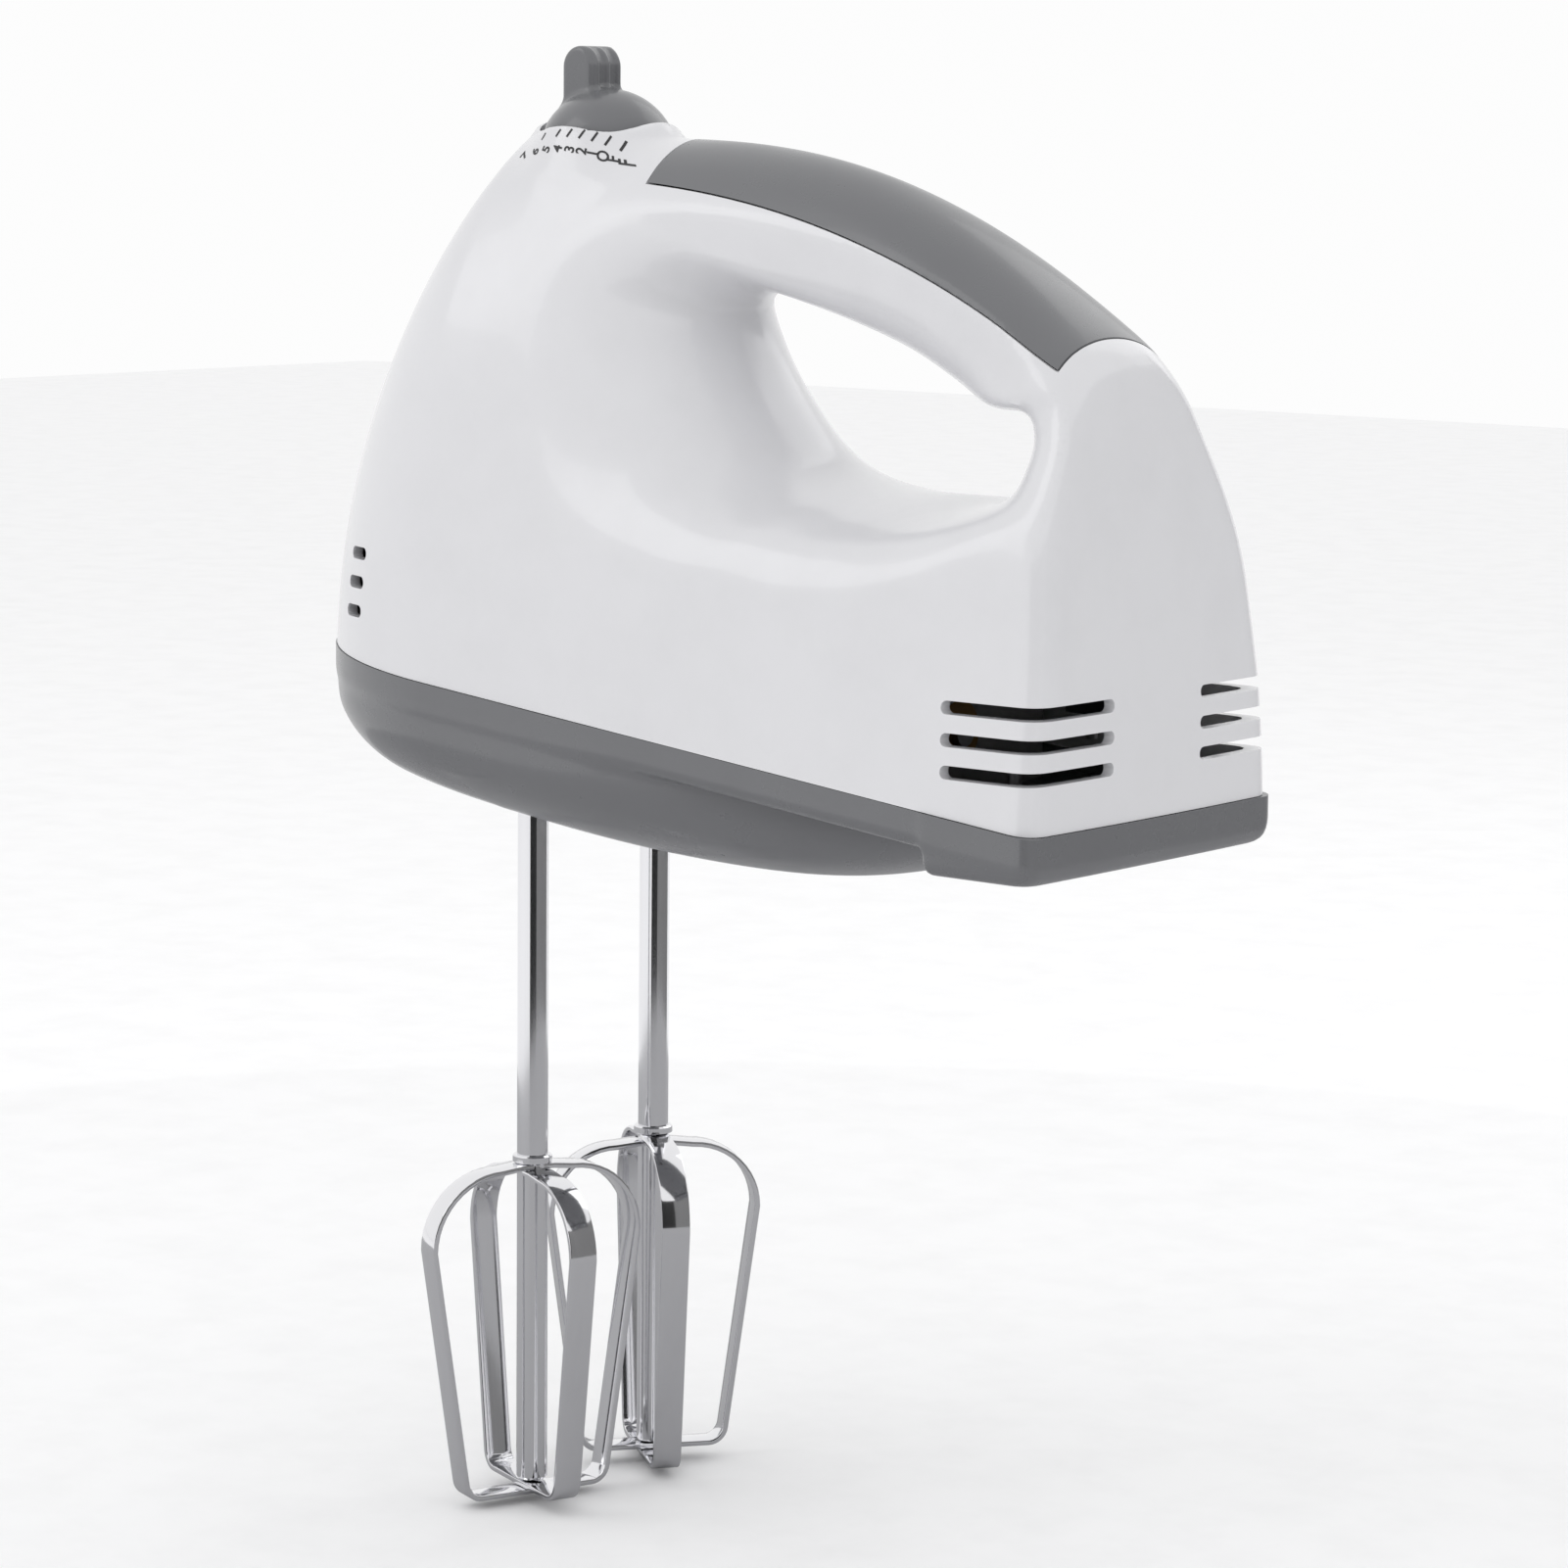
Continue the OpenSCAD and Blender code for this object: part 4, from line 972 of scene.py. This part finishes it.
def loop_path(s, inset):
    """Half outline of a beater loop from its top middle to its bottom middle."""
    r, top = LOOP_R_OUT - inset, LOOP_TOP - inset
    shoulder, tip = 15 - inset, 4.0
    tip_x, low = 12 * r / LOOP_R_OUT, inset + LOOP_LOW
    path = [(0, top), (3.5, top)]
    path += [(r - shoulder + shoulder * math.sin(a), top - 0.5 - shoulder + shoulder * math.cos(a))
             for a in np.radians(np.linspace(0, 90, 13))]
    end = math.radians(8)
    path += [(tip_x + tip * math.cos(a), low + tip + tip * math.sin(a))
             for a in np.linspace(-end, -math.pi / 2, 9)]
    path.append((0, low))
    return path


def strip(name, s, inset, turn, centre):
    """Closed flat strip bent to a beater loop, with softened edges."""
    half = loop_path(s, inset)
    path = half[:-1] + [(-x, z) for x, z in half[:0:-1]]
    path = np.array(path)
    n = len(path)
    before, after = np.roll(path, 1, 0), np.roll(path, -1, 0)
    along = after - before
    along /= np.linalg.norm(along, axis=1)[:, None]
    out = np.stack([-along[:, 1], along[:, 0]], 1)
    w, t, c = s.strip_width / 2, s.strip_thick, 0.25
    e = 0.07
    section = [(-w + c, 0), (w - c, 0), (w - e, -e), (w, -c), (w, -t + c), (w - e, -t + e),
               (w - c, -t), (-w + c, -t), (-w + e, -t + e), (-w, -t + c), (-w, -c), (-w + e, -e)]
    verts = []
    for i in range(n):
        for across, deep in section:
            x, z = path[i] + out[i] * deep
            verts.append((x * math.cos(turn) - across * math.sin(turn),
                          x * math.sin(turn) + across * math.cos(turn), z))
    m = len(section)
    faces = [(i * m + k, i * m + (k + 1) % m, (i + 1) % n * m + (k + 1) % m, (i + 1) % n * m + k)
             for i in range(n) for k in range(m)]
    mesh = bpy.data.meshes.new(name)
    places = [((x + centre[0]) * MM, (y + centre[1]) * MM, z * MM) for x, y, z in verts]
    mesh.from_pydata(places, [], faces)
    o = bpy.data.objects.new(name, mesh)
    bpy.context.scene.collection.objects.link(o)
    only(o)
    bpy.ops.object.mode_set(mode="EDIT")
    bpy.ops.mesh.select_all(action="SELECT")
    bpy.ops.mesh.normals_make_consistent(inside=False)
    bpy.ops.object.mode_set(mode="OBJECT")
    return o


class MIXER_OT_beaters(bpy.types.Operator):
    """Two beaters: round shafts, crossed strip loops and collars"""

    bl_idname = "mixer.beaters"
    bl_label = "Beaters"

    def execute(self, context):
        s = context.scene.mixer_shape
        r = s.shaft_radius
        chrome = material("beater_chrome")
        for side, hand, turn in (("left", -1, LEFT_TURN), ("right", 1, RIGHT_TURN)):
            centre = (SHAFT_X, hand * SHAFT_Y)
            top, groove = SHAFT_TOP, GROOVE_Z
            shaft = spun(side + "_shaft", [
                (r - 0.8, 3.7), (r - 0.3, 3.85), (r, 4.3), (r, groove), (r - 0.4, groove + 0.2),
                (r - 0.4, groove + 1.4), (r, groove + 1.6), (r, top - 1.2), (r - 0.7, top)], centre)
            smooth(shaft, 30)
            body = side + "_beater"
            finish_piece(shaft, body, [side + "_beater_shaft"], chrome)
            loops = joined_up([
                strip("a", s, 0, math.radians(turn), centre),
                strip("b", s, s.strip_thick + 0.1, math.radians(turn + 90), centre)])
            loops.name = side + "_loops"
            smooth(loops, 40)
            finish_piece(loops, body, [side + "_beater_loops"], chrome)
            z = LOOP_TOP
            collar = spun(side + "_collar", [(r + 0.5, z + 0.05), (r + 0.85, z + 0.3),
                                             (r + 0.85, z + 1.4), (r + 0.5, z + 1.7)], centre)
            smooth(collar, 30)
            finish_piece(collar, body, [side + "_beater_collar"], chrome)
        return {"FINISHED"}


INNER = {
    "bright_steel": ["housing_screws", "cover_screws", "gear_cap_screws", "motor_screws",
                     "cord_clamp_screws", "dial_clip", "ejector_spring", "brush_springs",
                     "motor_shaft", "worm", "left_spring_clip", "right_spring_clip"],
    "white_nylon": ["dial_spindle", "ejector_rod", "ejector_yoke", "gear_frame", "gear_cap"],
    "gear_nylon": ["left_gear", "right_gear"],
    "black_plastic": ["switch_base", "cooling_fan", "brush_caps", "cord_clamp", "carbon_brushes"],
    "contact_brass": ["switch_contacts", "brush_holders"],
    "phenolic": ["switch_rotor"],
    "laminated_iron": ["armature_core", "stator_core"],
    "enamelled_copper": ["armature_winding", "field_coils", "commutator"],
    "cast_zinc": ["front_bracket", "rear_bracket"],
    "bearing_bronze": ["front_bearing", "rear_bearing"],
    "capacitor_yellow": ["filter_capacitor"],
    "cord_rubber": ["cord_bushing"],
    "lead_red": ["motor_leads"],
}


class MIXER_OT_inner_parts(bpy.types.Operator):
    """Finishes of the drive, the switch and the fasteners inside"""

    bl_idname = "mixer.inner_parts"
    bl_label = "Inner parts"

    def execute(self, context):
        for name, nodes in INNER.items():
            for node in nodes:
                mesh = frame["nodes"][node].data
                mesh.materials.clear()
                mesh.materials.append(material(name))
        return {"FINISHED"}


# Stage, in metres: each light's name, place, size and power; cards seen only in reflections
LIGHTS = (("key", (-0.55, -0.75, 0.95), 0.7, 1.9),
          ("fill", (0.95, -0.5, 0.45), 0.8, 0.5),
          ("back", (0.1, 0.9, 0.8), 0.7, 1.0))
WORLD_STRENGTH = 0.98
CARD_R = 0.45
CARD_HIGH = 0.4
CAMERA_PLACE = (0.5656, -0.6845, 0.2694)
CAMERA_AZIMUTH = 38.97
CAMERA_ELEVATION = 8.11
CAMERA_ROLL = 0.585
CAMERA_LENS = 108.1147


class MIXER_OT_stage(bpy.types.Operator):
    """Pale floor, soft studio light and the camera"""

    bl_idname = "mixer.stage"
    bl_label = "Stage"

    def execute(self, context):
        bpy.ops.object.select_all(action="DESELECT")
        bpy.ops.mesh.primitive_plane_add(size=6, location=(0, 0, -0.0005))
        floor = context.object
        floor.name = "floor"
        paper = finish("floor_paper", (0.93, 0.93, 0.935), rough=0.8, smudge=0.03)
        floor.data.materials.append(paper)
        world = bpy.data.worlds.new("studio")
        world.use_nodes = True
        world.node_tree.nodes["Background"].inputs["Color"].default_value = (1, 1, 1, 1)
        world.node_tree.nodes["Background"].inputs["Strength"].default_value = WORLD_STRENGTH
        context.scene.world = world
        context.scene.view_settings.view_transform = "Standard"
        middle = Vector((0, 0, 0.19))
        for name, place, size, power in LIGHTS:
            light = bpy.data.lights.new(name, "AREA")
            light.size, light.energy = size, power
            o = bpy.data.objects.new(name, light)
            o.location = place
            o.rotation_euler = (middle - Vector(place)).to_track_quat("-Z", "Y").to_euler()
            context.scene.collection.objects.link(o)
        self.card("dark_card", -75, -27, 0.012)
        self.card("grey_card", -27, 75, 0.2)
        bpy.ops.mesh.primitive_circle_add(vertices=48, radius=0.44, fill_type="NGON",
                                          location=(0, 0, 0.0002))
        under = context.object
        under.name = "under_card"
        bake_place(under)
        under.data.materials.append(finish("under_card_paint", (0.4, 0.4, 0.41), rough=0.8))
        self.mirrored_only(under)
        self.camera(context)
        return {"FINISHED"}

    def card(self, name, start, end, shade):
        """Upright curved card, there only for the chrome to mirror; turns in degrees about Z."""
        bm = bmesh.new()
        rows = []
        for turn in np.radians(np.linspace(start, end, 13)):
            x, y = CARD_R * math.cos(turn), CARD_R * math.sin(turn)
            rows.append([bm.verts.new((x, y, z)) for z in (0, CARD_HIGH)])
        for a, b in zip(rows, rows[1:]):
            bm.faces.new((a[0], b[0], b[1], a[1]))
        card = from_bmesh(name, bm)
        card.data.materials.append(finish(name + "_paint", (shade, shade, shade), rough=0.8))
        self.mirrored_only(card)

    def mirrored_only(self, card):
        """Leaves a staged card to glossy reflections alone."""
        card.visible_camera = False
        card.visible_diffuse = False
        card.visible_shadow = False

    def camera(self, context):
        """Camera that looks along an azimuth and an elevation, rolled a little."""
        azimuth, elevation = math.radians(CAMERA_AZIMUTH), math.radians(CAMERA_ELEVATION)
        roll = math.radians(CAMERA_ROLL)
        forward = Vector((-math.sin(azimuth) * math.cos(elevation),
                          math.cos(azimuth) * math.cos(elevation), -math.sin(elevation)))
        right = Vector((math.cos(azimuth), math.sin(azimuth), 0))
        up = right.cross(forward)
        turned_right = right * math.cos(roll) + up * math.sin(roll)
        turned_up = up * math.cos(roll) - right * math.sin(roll)
        data = bpy.data.cameras.new("camera")
        data.sensor_width = 36
        data.lens = CAMERA_LENS
        data.clip_start, data.clip_end = 0.05, 20
        cam = bpy.data.objects.new("camera", data)
        cam.matrix_world = Matrix.Translation(CAMERA_PLACE) @ Matrix(
            (turned_right, turned_up, -forward)).transposed().to_4x4()
        context.scene.collection.objects.link(cam)
        context.scene.camera = cam


class MIXER_PT_panel(bpy.types.Panel):
    """Sizes, colours and steps of the mixer"""

    bl_idname = "MIXER_PT_panel"
    bl_label = "Hand mixer"
    bl_space_type = "VIEW_3D"
    bl_region_type = "UI"
    bl_category = "Mixer"

    def draw(self, context):
        for group in (context.scene.mixer_shape, context.scene.mixer_finish):
            box = self.layout.box()
            for name in group.__annotations__:
                box.prop(group, name)
        for step in STEPS:
            self.layout.operator(step.bl_idname)


GROUPS = (MixerShape, MixerFinish)
STEPS = (MIXER_OT_housing, MIXER_OT_base, MIXER_OT_scale, MIXER_OT_dial, MIXER_OT_beaters,
         MIXER_OT_inner_parts, MIXER_OT_stage)


def register():
    for c in (*GROUPS, *STEPS, MIXER_PT_panel):
        bpy.utils.register_class(c)
    bpy.types.Scene.mixer_shape = bpy.props.PointerProperty(type=MixerShape)
    bpy.types.Scene.mixer_finish = bpy.props.PointerProperty(type=MixerFinish)


def unregister():
    del bpy.types.Scene.mixer_finish
    del bpy.types.Scene.mixer_shape
    for c in reversed((*GROUPS, *STEPS, MIXER_PT_panel)):
        bpy.utils.unregister_class(c)


def main():
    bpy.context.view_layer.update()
    register()
    bpy.ops.mixer.housing()
    bpy.ops.mixer.base()
    bpy.ops.mixer.scale()
    bpy.ops.mixer.dial()
    bpy.ops.mixer.beaters()
    bpy.ops.mixer.inner_parts()
    bpy.ops.mixer.stage()


if __name__ == "__main__":
    main()
